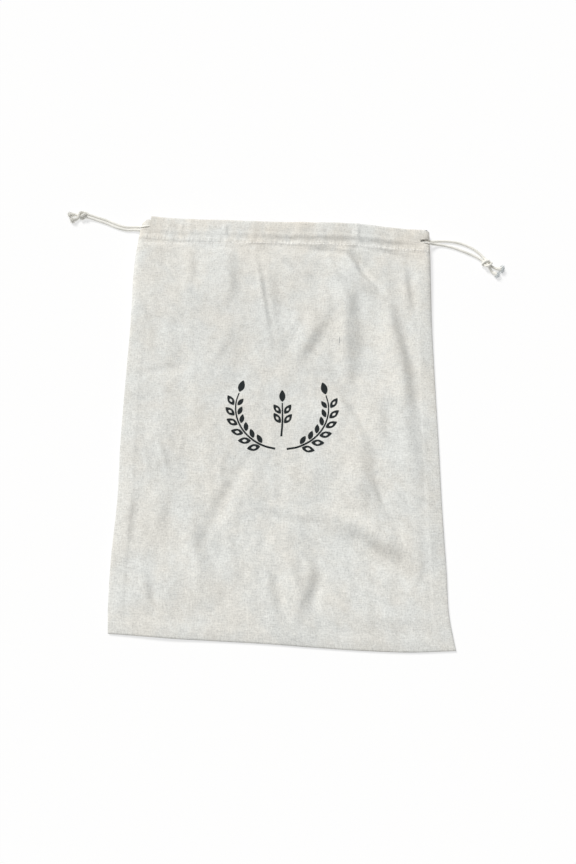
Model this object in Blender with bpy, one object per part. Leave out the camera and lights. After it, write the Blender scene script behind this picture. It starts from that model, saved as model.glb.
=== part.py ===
"""A drawstring bread bag of undyed cotton and linen cloth, lying on its back with its mouth to +Y.

The front and back panel are seamed at the sides and the bottom. A turned casing at the mouth holds two
drawcords. Each runs once round the casing, comes out of the slit at its own side and is knotted there.
All sizes in the tables are millimetres, up from the bag's lower end and across from near its middle. The
origin is on the table, under the middle of the bag's outline.
"""
import math

import bmesh
import bpy
import numpy as np
from mathutils import Matrix, Vector

MM = 0.001
WELD = 0.0001
NAME = "linen_bread_bag"

# Cloth and cord
CLOTH = 1.0
CORD = 2.5
CLEAR = 0.3
TUNNEL = CORD + 2 * CLEAR
CASING = TUNNEL + 2 * CLOTH
MOUTH_GAPE = 4.8

# The bag's plan
BAG_LENGTH = 400.0
BAG_WIDTH = 290.0
MIDDLE = (0.3, 202.2)
EDGE_ROUND = 1.5
EDGE_LIP = 0.4

# Heights of the front panel's outer face above the table
SEAM_HEIGHT = 2.6
PANEL_HEIGHT = 4.6
PANEL_FILL = 12.0
RISE_START = 240.0
MOUTH_SLACK = 0.5
LIP_ROUND = 2.2
CORNER_ROUND = 6.0
LIP_FLARE = 1.2
FLARE_START = 395.0
FLARE_RUN = 8.0
FOLD_FADE = 0.25
FOLD_END_SHARE = 0.25
FOLD_STOP_BELOW = 10.0
FOLD_STOP_RUN = 12.0

# Casing, measured down from the mouth's edge
TUNNEL_TOP = 4.0
TUNNEL_FOOT = 20.0
UPPER_LANE = 9.0
LOWER_LANE = 15.0
STITCH_GROOVE = 0.7
GROOVE_WIDTH = 1.6

# Across the mouth
MOUTH_LEFT, MOUTH_RIGHT = -123.0, 117.0
TURN_LEFT, TURN_RIGHT = (-137.5, -127.6), (121.6, 131.5)
FRONT_BAND_END = -140.5
BAND_STEP = 0.4
BEYOND_LEFT = -165.0
BEYOND_MOUTH = 420.0
ABOVE_CASING = 4 * CASING
MOUTH_STATIONS = (364.0, 372.0, 380.0, 390.0, 396.0, 400.0, 410.0)
LEFT_SLIT_Y, RIGHT_SLIT_Y = 392.5, 386.0
SLIT_HALF = 3.6
LEFT_SLIT = (-131.0, -134.0, -137.5, -148.0, -160.0)
RIGHT_SLIT = (124.0, 127.5, 131.0, 138.0, 150.0)
SLIT_WIDTHS = (0.1, 0.7, 1.0, 1.0, 1.0)

# Side edges: way up the bag, left edge, right edge
SIDE_EDGES = (
    (0, -146.5, 153.0),
    (12, -147.6, 150.6),
    (28, -149.0, 147.8),
    (70, -150.2, 146.0),
    (124, -149.2, 143.6),
    (180, -151.0, 142.0),
    (245, -151.2, 139.8),
    (310, -151.4, 138.2),
    (345, -152.4, 138.2),
    (380, -150.4, 138.0),
    (400, -148.0, 137.4),
)

# Lower end and mouth: share of the width from the left, lower edge, mouth's edge, stitch line
END_EDGES = (
    (0.00, 8.4, 404.5, 376.5),
    (0.10, 7.2, 403.0, 376.5),
    (0.20, 5.8, 401.0, 376.0),
    (0.32, 4.8, 399.6, 376.0),
    (0.45, 3.8, 399.0, 375.6),
    (0.60, 1.8, 399.6, 375.6),
    (0.74, 0.4, 399.8, 375.8),
    (0.86, 0.2, 398.0, 374.8),
    (1.00, 2.6, 397.0, 373.6),
)

# Folds: rise above the panel, half width, places along the fold
FOLDS = (
    (4.2, 8.0, ((18, 372), (38, 360), (48, 344), (54, 281), (57, 222))),
    (-1.0, 7.0, ((46, 366), (66, 335), (70, 290), (69, 244))),
    (4.8, 8.0, ((62, 374), (75, 356), (90, 328), (100, 284), (106, 258), (113, 200), (120, 133))),
    (-1.2, 7.0, ((100, 335), (108, 300), (118, 250), (124, 200))),
    (-1.0, 7.0, ((112, 366), (120, 335), (127, 305))),
    (2.2, 9.0, ((-44, 372), (-28, 342), (-20, 315), (-14, 281), (-4, 251))),
    (-0.8, 7.0, ((-17, 365), (0, 352), (18, 336))),
    (1.6, 10.0, ((28, 330), (22, 290), (6, 250))),
    (-1.1, 7.0, ((38, 263), (54, 230), (69, 202), (81, 187), (85, 146), (99, 114))),
    (2.6, 7.5, ((70, 234), (88, 202), (105, 171), (117, 137))),
    (2.4, 9.0, ((52, 205), (66, 172), (72, 140), (84, 112))),
    (3.2, 7.0, ((-12, 82), (8, 68), (16, 42), (25, 22))),
    (-1.0, 6.0, ((-17, 74), (-7, 44), (8, 16))),
    (-1.1, 7.5, ((14, 98), (30, 66), (25, 34))),
    (1.6, 9.0, ((-14, 186), (-32, 145), (-50, 106), (-68, 84))),
    (-0.9, 8.0, ((-24, 184), (-45, 143), (-64, 106), (-81, 88))),
    (1.8, 10.0, ((62, 108), (92, 94), (120, 80))),
    (-1.1, 8.0, ((57, 118), (86, 92), (116, 70))),
    (1.2, 10.0, ((-118, 205), (-116, 175), (-108, 150))),
    (1.0, 11.0, ((-128, 70), (-122, 48), (-126, 26))),
    (1.0, 9.0, ((-96, 360), (-92, 320), (-94, 285))),
    (-0.8, 8.0, ((-147, 241), (-118, 247), (-88, 255))),
    (0.8, 7.0, ((46, 27), (95, 29), (140, 28))),
)

# Casing puckers: across, rise, half width
PUCKERS = (
    (-118, 0.9, 4.0), (-99, 1.0, 3.5), (-80, 0.6, 5.0), (-60, 1.0, 4.0), (-36, 1.2, 4.0), (-12, 0.7, 5.0),
    (10, 0.9, 4.0), (31, 0.6, 5.0), (63, 1.2, 4.0), (82, 0.8, 4.5), (104, 0.9, 4.0),
)

# Held cords: lanes of the front and the back, where each lane stops, way in at the slit, way out at the slit
CORD_LEVEL = CORD / 2 + 0.1
OVER_CLOTH = CLOTH + CORD / 2 + CLEAR
TURN_INSET = CORD / 2 + CLEAR
HELD_CORDS = {
    "cord_run_left": (
        (UPPER_LANE, LOWER_LANE), (-124.0, 126.2), TURN_RIGHT[1] - TURN_INSET,
        ((-138.5, 394.4, 7.2), (-132.0, 394.7, 7.6)),
        ((-131.0, 389.4, OVER_CLOTH), (-138.5, 390.5, OVER_CLOTH))),
    "cord_run_right": (
        (LOWER_LANE, UPPER_LANE), (117.0, -132.2), TURN_LEFT[0] + TURN_INSET,
        ((132.0, 384.0, 7.2), (127.0, 383.3, 7.5)),
        ((127.0, 388.1, OVER_CLOTH), (132.0, 388.0, OVER_CLOTH))),
}

# Free cords, from the slit to the face of the knot: across, up the bag, height of the middle
FREE_CORDS = {
    "cord_left_front": (
        (-138.9, 394.4, 7.2), (-142.0, 394.4, 6.9), (-146.5, 394.4, 5.4), (-151.5, 395.2, 3.2),
        (-156.5, 396.0, 1.7), (-163.0, 396.0, CORD_LEVEL), (-170.0, 397.5, CORD_LEVEL),
        (-176.6, 399.9, CORD_LEVEL), (-183.5, 402.7, CORD_LEVEL), (-190.6, 405.0, CORD_LEVEL),
        (-197.0, 407.0, 1.6), (-203.1, 408.4, 2.5)),
    "cord_left_back": (
        (-138.9, 390.5, OVER_CLOTH), (-144.0, 390.9, OVER_CLOTH), (-150.6, 392.3, OVER_CLOTH),
        (-156.0, 393.0, 1.6), (-163.2, 392.8, CORD_LEVEL), (-170.6, 394.5, CORD_LEVEL),
        (-177.6, 396.9, CORD_LEVEL), (-184.5, 399.8, CORD_LEVEL), (-191.4, 402.1, CORD_LEVEL),
        (-197.6, 404.0, 1.6), (-203.6, 405.4, 2.5)),
    "cord_right_front": (
        (132.5, 384.0, 7.2), (135.6, 384.1, 6.8), (140.0, 384.6, 4.2), (144.6, 385.2, 2.2),
        (150.0, 385.0, CORD_LEVEL), (156.5, 383.8, CORD_LEVEL), (164.5, 381.4, CORD_LEVEL),
        (172.0, 378.4, CORD_LEVEL), (179.2, 375.2, CORD_LEVEL), (184.6, 372.3, 1.6),
        (189.6, 368.6, 2.6)),
    "cord_right_back": (
        (132.4, 388.0, OVER_CLOTH), (137.0, 387.9, OVER_CLOTH), (141.6, 388.2, 2.4),
        (148.0, 389.2, CORD_LEVEL), (157.0, 389.3, CORD_LEVEL), (166.5, 387.8, CORD_LEVEL),
        (175.6, 384.6, CORD_LEVEL), (183.2, 380.0, CORD_LEVEL), (188.8, 374.6, 1.6),
        (192.4, 369.5, 2.5)),
}

# Knots: middle, way the pair comes in, and the cut ends from root to tip
KNOT_HEIGHT = 6.4
KNOT_CORE = 3.4
WRAP_RADIUS = 3.3
WRAP_CORD = 1.6
WRAP_TURNS = ((32, 14), (-38, -18), (88, 52))
KNOTS = {
    "knot_left": ((-208.4, 407.3), -13, (
        ((-211.0, 408.0), (-215.5, 408.8), (-219.0, 409.2), (-222.6, 409.0)),
        ((-210.6, 405.4), (-214.0, 403.6), (-216.6, 402.0), (-218.8, 400.0)))),
    "knot_right": ((192.2, 363.9), 105, (
        ((194.6, 363.0), (200.0, 361.8), (206.0, 360.6), (211.6, 360.6)),
        ((193.4, 361.4), (197.0, 358.2), (200.0, 356.0), (203.0, 354.4)))),
}

# Stations of the cloth's grid, closer where it turns or folds, as shares of the width and of the length
EDGE_STATIONS = (0, 0.5, 1.6, 4.0, 8.0, 14.0)
CASING_STATIONS = (366.0, 371.5, 375.6, 379.0, 384.0, 390.0, 395.0, 398.0, 399.4, 400.0)
ACROSS = np.concatenate([EDGE_STATIONS, np.linspace(26, 146, 10), np.linspace(157, 269, 19),
                         BAG_WIDTH - np.array(EDGE_STATIONS[::-1])]) / BAG_WIDTH
UP = np.concatenate([EDGE_STATIONS, np.linspace(24, 356, 37), CASING_STATIONS]) / BAG_LENGTH
SEAM_STATION = EDGE_STATIONS.index(4.0)
POUCH_END = len(UP) - len(CASING_STATIONS) + 2
POUCH_SLACK = 0.6

# Spacing of the points along a cord
LANE_PLACES = 48
RUN_STEP = 7.0
FREE_STEP = 5.0

# Looks
CLOTH_COLOUR = (0.70, 0.69, 0.65)
CORD_COLOUR = (0.62, 0.61, 0.57)
CLOTH_ROUGHNESS = 0.92


def read(table, column, at):
    """A smooth curve through one column of a table, read at the first column's values."""
    rows = np.array([(row[0], row[column]) for row in table], dtype=float)
    steps, values = rows[:, 0], rows[:, 1]
    slopes = np.gradient(values, steps)
    at = np.clip(np.asarray(at, dtype=float), steps[0], steps[-1])
    i = np.clip(np.searchsorted(steps, at) - 1, 0, len(steps) - 2)
    span = steps[i + 1] - steps[i]
    u = (at - steps[i]) / span
    start, end = values[i], values[i + 1]
    rise, fall = slopes[i] * span, slopes[i + 1] * span
    return (start * (1 + 2 * u) * (1 - u) ** 2 + rise * u * (1 - u) ** 2
            + end * u * u * (3 - 2 * u) + fall * u * u * (u - 1))


def smooth_path(points, spacing):
    """Points a set distance apart on a smooth curve through the route's own points."""
    route = np.array(points, dtype=float)
    run = np.concatenate([[0], np.cumsum(np.linalg.norm(np.diff(route, axis=0), axis=1))])
    fine = np.linspace(0, run[-1], 40 * len(route))
    table = [(step, *place) for step, place in zip(run, route)]
    curve = np.column_stack([read(table, column + 1, fine) for column in range(route.shape[1])])
    length = np.concatenate([[0], np.cumsum(np.linalg.norm(np.diff(curve, axis=0), axis=1))])
    stops = np.linspace(0, length[-1], max(2, round(length[-1] / spacing) + 1))
    return np.column_stack([np.interp(stops, length, curve[:, axis]) for axis in range(route.shape[1])])


def ease(value):
    """A soft step from 0 to 1."""
    value = np.clip(value, 0, 1)
    return value * value * (3 - 2 * value)


def plan(across, up):
    """The place on the table of a share of the width and a share of the length."""
    left, right = (read(SIDE_EDGES, column, up * BAG_LENGTH) for column in (1, 2))
    low, high = (read(END_EDGES, column, across) for column in (1, 2))
    return left * (1 - across) + right * across, low * (1 - up) + high * up


def share_across(x, y):
    left, right = (read(SIDE_EDGES, column, y) for column in (1, 2))
    return (x - left) / (right - left)


def mouth_edge(x):
    return read(END_EDGES, 2, share_across(x, BAG_LENGTH))


def quarter_round(inset, radius):
    """How far a rounded edge falls short of its full height, this far in from the edge."""
    short = np.clip(1 - inset / radius, 0, 1)
    return radius * (1 - np.sqrt(1 - short * short))


def fold_relief(x, y):
    """The sum of the folds at a place on the front panel."""
    total = np.zeros_like(x)
    for rise, half_width, places in FOLDS:
        spine = smooth_path(places, half_width / 2)
        gap = np.hypot(x[..., None] - spine[:, 0], y[..., None] - spine[:, 1])
        nearest = gap.argmin(axis=-1)
        along = nearest / (len(spine) - 1)
        fade = ease(along / FOLD_FADE) * ease((1 - along) / FOLD_FADE)
        share = FOLD_END_SHARE + (1 - FOLD_END_SHARE) * fade
        total += rise * np.exp(-(gap.min(axis=-1) / half_width) ** 2) * share
    return total


def casing_height(x):
    """The height of the front casing over the table, without its puckers."""
    middle = (MOUTH_LEFT + MOUTH_RIGHT) / 2
    half = (MOUTH_RIGHT - MOUTH_LEFT) / 2
    return 2 * CASING + MOUTH_GAPE * (1 - np.clip(abs(x - middle) / half, 0, 1) ** 4) ** 2


def pucker_relief(x):
    """What the gathers of the casing add to its height."""
    return sum(rise * np.exp(-((x - place) / width) ** 2) for place, rise, width in PUCKERS)


def front_height(x, y):
    """The height of the front's outer face over the table."""
    across = share_across(x, y)
    left, right = (read(SIDE_EDGES, column, y) for column in (1, 2))
    side = np.clip(np.minimum(x - left, right - x), 0, None)
    foot = np.clip(y - read(END_EDGES, 1, across), 0, None)
    lip = np.clip(read(END_EDGES, 2, across) - y, 0, None)
    stitch = read(END_EDGES, 3, across)
    filled = (1 - np.exp(-side / PANEL_FILL)) * (1 - np.exp(-foot / PANEL_FILL))
    panel = SEAM_HEIGHT + (PANEL_HEIGHT - SEAM_HEIGHT) * filled
    corner = np.sqrt(1 - np.clip(1 - side / CORNER_ROUND, 0, 1) ** 2)
    mouth = SEAM_HEIGHT + (casing_height(x) + pucker_relief(x) - SEAM_HEIGHT) * corner
    rise = ease((y - RISE_START) / (stitch - RISE_START))
    in_casing = ease((y - stitch + FOLD_STOP_BELOW) / FOLD_STOP_RUN)
    folds = fold_relief(x, y) * filled * (1 - in_casing) * (1 - MOUTH_SLACK * rise)
    height = panel * (1 - rise) + mouth * rise + folds
    height = height - STITCH_GROOVE * np.exp(-((y - stitch) / GROOVE_WIDTH) ** 2) * corner
    height = height - quarter_round(lip, LIP_ROUND)
    edge = np.minimum(side, foot)
    return np.maximum(height - quarter_round(edge, EDGE_ROUND), EDGE_ROUND + EDGE_LIP)


def back_height(x, y):
    """The height of the back's outer face: the table, but for the rounded edges."""
    across = share_across(x, y)
    left, right = (read(SIDE_EDGES, column, y) for column in (1, 2))
    side = np.minimum(x - left, right - x)
    ends = np.minimum(y - read(END_EDGES, 1, across), read(END_EDGES, 2, across) - y)
    inset = np.clip(np.minimum(side, ends), 0, None)
    return np.minimum(quarter_round(inset, EDGE_ROUND), EDGE_ROUND - EDGE_LIP)


def collection(name):
    group = bpy.data.collections.new(name)
    bpy.context.scene.collection.children.link(group)
    return group


def material(name, colour):
    made = bpy.data.materials.new(name)
    made.use_nodes = True
    shader = made.node_tree.nodes["Principled BSDF"]
    shader.inputs["Base Color"].default_value = (*colour, 1)
    shader.inputs["Roughness"].default_value = CLOTH_ROUGHNESS
    shader.inputs["Metallic"].default_value = 0.0
    return made


def put(made, group):
    """Link a piece and hang it on the bag's own middle."""
    group.objects.link(made)
    made.parent = bpy.data.objects[NAME]


def add_mesh(name, bm, group, look=None):
    """Turn a mesh that was worked out in millimetres into an object in metres."""
    bmesh.ops.scale(bm, vec=(MM, MM, MM), verts=bm.verts)
    bmesh.ops.recalc_face_normals(bm, faces=bm.faces)
    mesh = bpy.data.meshes.new(name)
    bm.to_mesh(mesh)
    bm.free()
    made = bpy.data.objects.new(name, mesh)
    put(made, group)
    if look:
        mesh.materials.append(look)
    return made


def slab(stations_across, stations_up, place, low, high):
    """A closed body between a lower and an upper surface over the same grid of places."""
    columns, rows = len(stations_across), len(stations_up)
    bm = bmesh.new()
    bmesh.ops.create_grid(bm, x_segments=columns - 1, y_segments=rows - 1, size=1.0)
    grid = list(bm.verts)
    i = [round((vert.co.x + 1) / 2 * (columns - 1)) for vert in grid]
    j = [round((vert.co.y + 1) / 2 * (rows - 1)) for vert in grid]
    x, y = place(np.array(stations_across)[i], np.array(stations_up)[j])
    raised = bmesh.ops.extrude_face_region(bm, geom=list(bm.faces))["geom"]
    upper = [item for item in raised if isinstance(item, bmesh.types.BMVert)]
    partner = {(round(vert.co.x, 5), round(vert.co.y, 5)): vert for vert in upper}
    lower_z, upper_z = low(x, y), high(x, y)
    pairs = [(vert, partner[(round(vert.co.x, 5), round(vert.co.y, 5))]) for vert in grid]
    for (below, above), px, py, zl, zh in zip(pairs, x, y, lower_z, upper_z):
        below.co = (px, py, zl)
        above.co = (px, py, zh)
    return bm


def cut(body, cutter):
    cutter.hide_render = True
    cutter.display_type = "WIRE"
    boolean = body.modifiers.new(cutter.name, "BOOLEAN")
    boolean.operation = "DIFFERENCE"
    boolean.solver = "EXACT"
    boolean.object = cutter


def outer_body():
    """The bag's outer form, from the seams and the flat back to the folds of the front."""
    return slab(ACROSS, UP, plan, back_height, front_height)


def pouch_cutter():
    """The space between the panels, inside the seams and below the casing."""
    return slab(ACROSS[SEAM_STATION:-SEAM_STATION], UP[SEAM_STATION:POUCH_END], plan,
                lambda x, y: np.full_like(x, CLOTH),
                lambda x, y: np.maximum(front_height(x, y) - CLOTH, CLOTH + POUCH_SLACK))


def mouth_cutter():
    """The mouth, between the two casing bands, flared at its lips."""
    def flare(y):
        return LIP_FLARE * ease((y - FLARE_START) / FLARE_RUN)

    return slab(np.linspace(MOUTH_LEFT, MOUTH_RIGHT, 33), MOUTH_STATIONS,
                lambda across, up: (across, up),
                lambda x, y: CASING - flare(y),
                lambda x, y: np.maximum(casing_height(x) - CASING, CASING + POUCH_SLACK) + flare(y))


def tunnel_cutter(floor, roof):
    """The way for the cords through one casing band."""
    return slab(np.linspace(TURN_LEFT[0], TURN_RIGHT[1], 37), (TUNNEL_FOOT, TUNNEL_TOP),
                lambda across, down: (across, mouth_edge(across) - down), floor, roof)


def turn_cutter(ends):
    """The side of the casing, where a cord turns from the front band to the back band."""
    return slab(ends, (TUNNEL_FOOT, TUNNEL_TOP),
                lambda across, down: (across, mouth_edge(across) - down),
                lambda x, y: np.full_like(x, CLOTH),
                lambda x, y: np.full_like(x, 2 * CASING - CLOTH))


def slit_cutter(stops, middle):
    """A slit at one side of the casing, from its pointed inner end out past the edge."""
    inner_to_outer = np.abs(np.array(stops) - stops[0])

    def place(across, side):
        half = SLIT_HALF * np.interp(np.abs(across - stops[0]), inner_to_outer, SLIT_WIDTHS)
        return across, middle + side * half

    return slab(stops, (-1.0, 1.0), place,
                lambda x, y: np.full_like(x, CLOTH),
                lambda x, y: np.full_like(x, ABOVE_CASING))


def corner_cutter():
    """The left corner, where the front band ends short and the back band shows."""
    return slab((BEYOND_LEFT, FRONT_BAND_END), (LEFT_SLIT_Y, BEYOND_MOUTH),
                lambda across, up: (across, up),
                lambda x, y: np.full_like(x, CASING - BAND_STEP),
                lambda x, y: np.full_like(x, ABOVE_CASING))


def build_cloth(parts, cutters):
    """The bag: panels, seams and casing in one piece of cloth."""
    cloth = add_mesh("bag_cloth", outer_body(), parts, material("cloth", CLOTH_COLOUR))
    forms = {
        "cut_pouch": pouch_cutter(),
        "cut_mouth": mouth_cutter(),
        "cut_back_tunnel": tunnel_cutter(lambda x, y: np.full_like(x, CLOTH),
                                         lambda x, y: np.full_like(x, CLOTH + TUNNEL)),
        "cut_front_tunnel": tunnel_cutter(lambda x, y: casing_height(x) - CLOTH - TUNNEL,
                                          lambda x, y: casing_height(x) - CLOTH),
        "cut_left_turn": turn_cutter(TURN_LEFT),
        "cut_right_turn": turn_cutter(TURN_RIGHT),
        "cut_left_corner": corner_cutter(),
        "cut_left_slit": slit_cutter(LEFT_SLIT, LEFT_SLIT_Y),
        "cut_right_slit": slit_cutter(RIGHT_SLIT, RIGHT_SLIT_Y),
    }
    for name, form in forms.items():
        cut(cloth, add_mesh(name, form, cutters))
    return cloth


def tube(name, route, radius, group, look=None):
    """A round cord through the given places."""
    curve = bpy.data.curves.new(name, "CURVE")
    curve.dimensions = "3D"
    curve.bevel_depth = radius * MM
    curve.bevel_resolution = 2
    curve.use_fill_caps = True
    spline = curve.splines.new("POLY")
    spline.points.add(len(route) - 1)
    for point, place in zip(spline.points, route):
        point.co = (*(np.array(place) * MM), 1)
    if look:
        curve.materials.append(look)
    made = bpy.data.objects.new(name, curve)
    put(made, group)
    return made


def lane(down, front, first, last):
    """Places along one lane of a casing band."""
    x = np.linspace(first, last, LANE_PLACES)
    z = casing_height(x) - CLOTH - TUNNEL / 2 if front else np.full_like(x, CLOTH + TUNNEL / 2)
    return list(zip(x, mouth_edge(x) - down, z))


def held_run(lanes, stops, turn_x, way_in, way_out):
    """A drawcord in the casing: in at its slit, through the front, round the far side and back."""
    front_down, back_down = lanes
    near, far = stops
    turn_y = float(mouth_edge(np.array(turn_x))) - (front_down + back_down) / 2
    front = lane(front_down, True, near, far)
    back = lane(back_down, False, far, near)
    return [*way_in, *front, (turn_x, turn_y, CASING), *back, *way_out]


def build_cords(parts, look):
    """The two held drawcords, and the four free ends that come out of the slits."""
    for name, run in HELD_CORDS.items():
        tube(name, smooth_path(held_run(*run), RUN_STEP), CORD / 2, parts, look)
    for name, route in FREE_CORDS.items():
        tube(name, smooth_path(route, FREE_STEP), CORD / 2, parts, look)


def slab_ring(bm, major, minor):
    """A closed ring of round section, lying flat."""
    bmesh.ops.create_circle(bm, segments=8, radius=minor)
    bmesh.ops.transform(bm, matrix=Matrix.Translation((major, 0, 0)) @ Matrix.Rotation(math.pi / 2, 4, "X"),
                        verts=bm.verts)
    bmesh.ops.spin(bm, geom=bm.edges, cent=(0, 0, 0), axis=(0, 0, 1), angle=2 * math.pi, steps=16,
                   use_merge=True)
    bmesh.ops.remove_doubles(bm, verts=bm.verts, dist=WELD)
    return bm.verts


def solid_tube(name, route, radius, group):
    """A round cord as a welded mesh, which can be joined to another."""
    curve = tube(name + "_line", route, radius, group)
    bpy.context.view_layer.update()
    evaluated = curve.evaluated_get(bpy.context.evaluated_depsgraph_get())
    mesh = bpy.data.meshes.new_from_object(evaluated)
    bm = bmesh.new()
    bm.from_mesh(mesh)
    bmesh.ops.remove_doubles(bm, verts=bm.verts, dist=WELD)
    bm.to_mesh(mesh)
    bm.free()
    made = bpy.data.objects.new(name, mesh)
    put(made, group)
    bpy.data.objects.remove(curve, do_unlink=True)
    return made


def join(body, piece):
    piece.hide_render = True
    piece.display_type = "WIRE"
    boolean = body.modifiers.new(piece.name, "BOOLEAN")
    boolean.operation = "UNION"
    boolean.solver = "EXACT"
    boolean.object = piece


def build_knot(name, middle, way_in, cut_ends, parts, cutters, look):
    """An overhand knot in the pair: a tight core, the wraps round it and the two cut ends."""
    flat = KNOT_HEIGHT / 2 / (WRAP_RADIUS + WRAP_CORD)
    place = Matrix.Translation(Vector((*middle, KNOT_HEIGHT / 2 + CORD_LEVEL - CORD / 2)))
    core = bmesh.new()
    bmesh.ops.create_uvsphere(core, u_segments=16, v_segments=10, radius=KNOT_CORE)
    bmesh.ops.transform(core, matrix=place @ Matrix.Diagonal((1, 1, flat, 1)), verts=core.verts)
    knot = add_mesh(name, core, parts, look)
    for number, (turn, lean) in enumerate(WRAP_TURNS):
        pose = Matrix.Rotation(math.radians(way_in + turn), 4, "Z")
        pose = pose @ Matrix.Rotation(math.radians(90 - lean), 4, "Y")
        wrap = bmesh.new()
        ring = slab_ring(wrap, WRAP_RADIUS, WRAP_CORD)
        bmesh.ops.transform(wrap, matrix=place @ Matrix.Diagonal((1, 1, flat, 1)) @ pose, verts=ring)
        join(knot, add_mesh(f"{name}_wrap_{number + 1}", wrap, cutters))
    for number, places in enumerate(cut_ends):
        route = smooth_path([(x, y, CORD_LEVEL) for x, y in places], FREE_STEP)
        join(knot, solid_tube(f"{name}_end_{number + 1}", route, CORD / 2, cutters))


def main():
    for old in list(bpy.data.objects):
        bpy.data.objects.remove(old, do_unlink=True)
    parts = collection(NAME)
    cutters = collection("cutters")
    middle = bpy.data.objects.new(NAME, None)
    middle.location = (-MIDDLE[0] * MM, -MIDDLE[1] * MM, 0)
    parts.objects.link(middle)
    build_cloth(parts, cutters)
    cord = material("cord", CORD_COLOUR)
    build_cords(parts, cord)
    for name, (middle, way_in, cut_ends) in KNOTS.items():
        build_knot(name, middle, way_in, cut_ends, parts, cutters, cord)


main()
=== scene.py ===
"""Looks of a drawstring bread bag of undyed cotton and linen cloth, lying on its back with its mouth to +Y.

The cloth is a front and a back panel that meet at the seams, each turned in at the mouth to form a
casing. Two twisted cords run in the casing and are knotted at the sides. Tables are in millimetres,
up from the bag's lower end and across from near its middle, and MIDDLE brings them to the frame's origin.
"""

import math

import bmesh
import bpy
import numpy as np
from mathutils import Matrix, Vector, noise
from mathutils.bvhtree import BVHTree


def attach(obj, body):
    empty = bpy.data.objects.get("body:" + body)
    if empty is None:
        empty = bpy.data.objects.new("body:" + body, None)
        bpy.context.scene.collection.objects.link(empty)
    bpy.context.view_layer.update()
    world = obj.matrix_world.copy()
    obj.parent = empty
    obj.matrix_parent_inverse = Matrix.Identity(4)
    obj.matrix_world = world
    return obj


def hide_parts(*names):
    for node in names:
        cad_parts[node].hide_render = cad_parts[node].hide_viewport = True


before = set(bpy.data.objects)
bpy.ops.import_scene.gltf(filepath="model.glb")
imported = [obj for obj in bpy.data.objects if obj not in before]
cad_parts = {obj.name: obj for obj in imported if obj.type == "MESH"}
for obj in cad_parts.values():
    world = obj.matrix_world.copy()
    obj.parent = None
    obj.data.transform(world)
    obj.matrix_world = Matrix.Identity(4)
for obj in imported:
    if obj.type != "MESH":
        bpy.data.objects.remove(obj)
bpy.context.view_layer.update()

MM = 0.001
BODY = "root"
MIDDLE = (0.3, 202.2)

# Camera, in metres and degrees
CAMERA_TARGET = (0.0027, -0.0107, 0.0)
CAMERA_AZIMUTH = 1.6
CAMERA_ELEVATION = 77.0
CAMERA_DISTANCE = 0.60
CAMERA_LENS = 27.0

# The bag's plan
BAG_LENGTH = 400.0
BAG_WIDTH = 290.0
CLOTH = 0.5
EDGE_ROUND = 1.3
EDGE_HEIGHT = 1.3

# Heights of the front's outer face above the table
SEAM_HEIGHT = 2.6
PANEL_HEIGHT = 4.6
PANEL_FILL = 12.0
RISE_START = 240.0
MOUTH_SLACK = 0.5
CORNER_ROUND = 6.0
FOLD_FADE = 0.40
FOLD_END_SHARE = 0.25
LEAST_FACING = 0.5
FOLD_STOP_BELOW = 10.0
FOLD_STOP_RUN = 12.0

# Casing, measured down from the mouth's edge
CORD = 2.5
TUNNEL_LAYER = 1.0
TUNNEL = 3.1
CASING = 5.1
MOUTH_GAPE = 4.8
MOUTH_LEFT, MOUTH_RIGHT = -123.0, 117.0
UPPER_LANE, LOWER_LANE = 9.0, 15.0
BAND = 4.8
BACK_BAND = 4.7
LIP = 2.4
STITCH_GROOVE = 0.08
GROOVE_WIDTH = 1.3
SEWN_GAP = 1.2
TUNNEL_CLEAR_TO = 17.5
VALLEY_PLACE = 11.6
VALLEY_WIDTH = 2.6
FALL_FROM, FALL_RUN = 13.0, 7.5
FALL = (1.2, 2.6)

# The slits, where the front casing parts from the back one at each side
LEFT_END = -137.6
LEFT_SLIT_Y = 390.6
LEFT_BLEND = 1.2
RIGHT_SLIT_Y = 384.5
RIGHT_SLIT_TIP = 126.6
RIGHT_SLIT_HALF = 2.3
RIGHT_SLIT_REACH = 6.0
SLIT_SHAPE = 1.6
SLIT_CLOSE = 0.85
SLIT_SAG = (1.1, 4.5, 112.0, 18.0)
LEFT_PULL, RIGHT_PULL = 30.0, 38.0
INNER_INSET = 6.0
BACK_SHORT_LEFT, BACK_SHORT_CHANGE = 9.0, 8.6
LEFT_CORNER_Y, LEFT_CORNER_RUN = 394.6, 2.2
BACK_REACH_RIGHT, BACK_REACH_HALF = 5.3, 5.0
LEFT_CORNER_ROUND = 6.0
LEFT_CORNER_HEIGHT = 1.9
LEFT_CORNER_FROM = 0.965

# Side edges: way up the bag, left edge, right edge
SIDE_EDGES = (
    (0, -146.5, 153.0), (12, -147.6, 150.6), (28, -149.0, 147.8), (70, -150.2, 146.0), (124, -149.2, 143.6),
    (180, -151.0, 142.0), (245, -151.2, 139.8), (310, -151.4, 138.2), (345, -152.4, 138.2),
    (380, -150.4, 138.0), (400, -148.0, 137.4),
)

# Lower end and mouth: share of the width from the left, lower edge, mouth's edge, stitch line
END_EDGES = (
    (0.00, 8.4, 404.5, 374.5), (0.10, 7.2, 403.0, 374.5), (0.20, 5.8, 401.0, 374.4), (0.32, 4.8, 399.6, 374.8),
    (0.45, 3.8, 399.0, 376.2), (0.60, 1.8, 399.6, 377.0), (0.74, 0.4, 399.8, 377.1), (0.86, 0.2, 398.0, 375.8),
    (1.00, 2.6, 397.0, 374.6),
)

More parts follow.
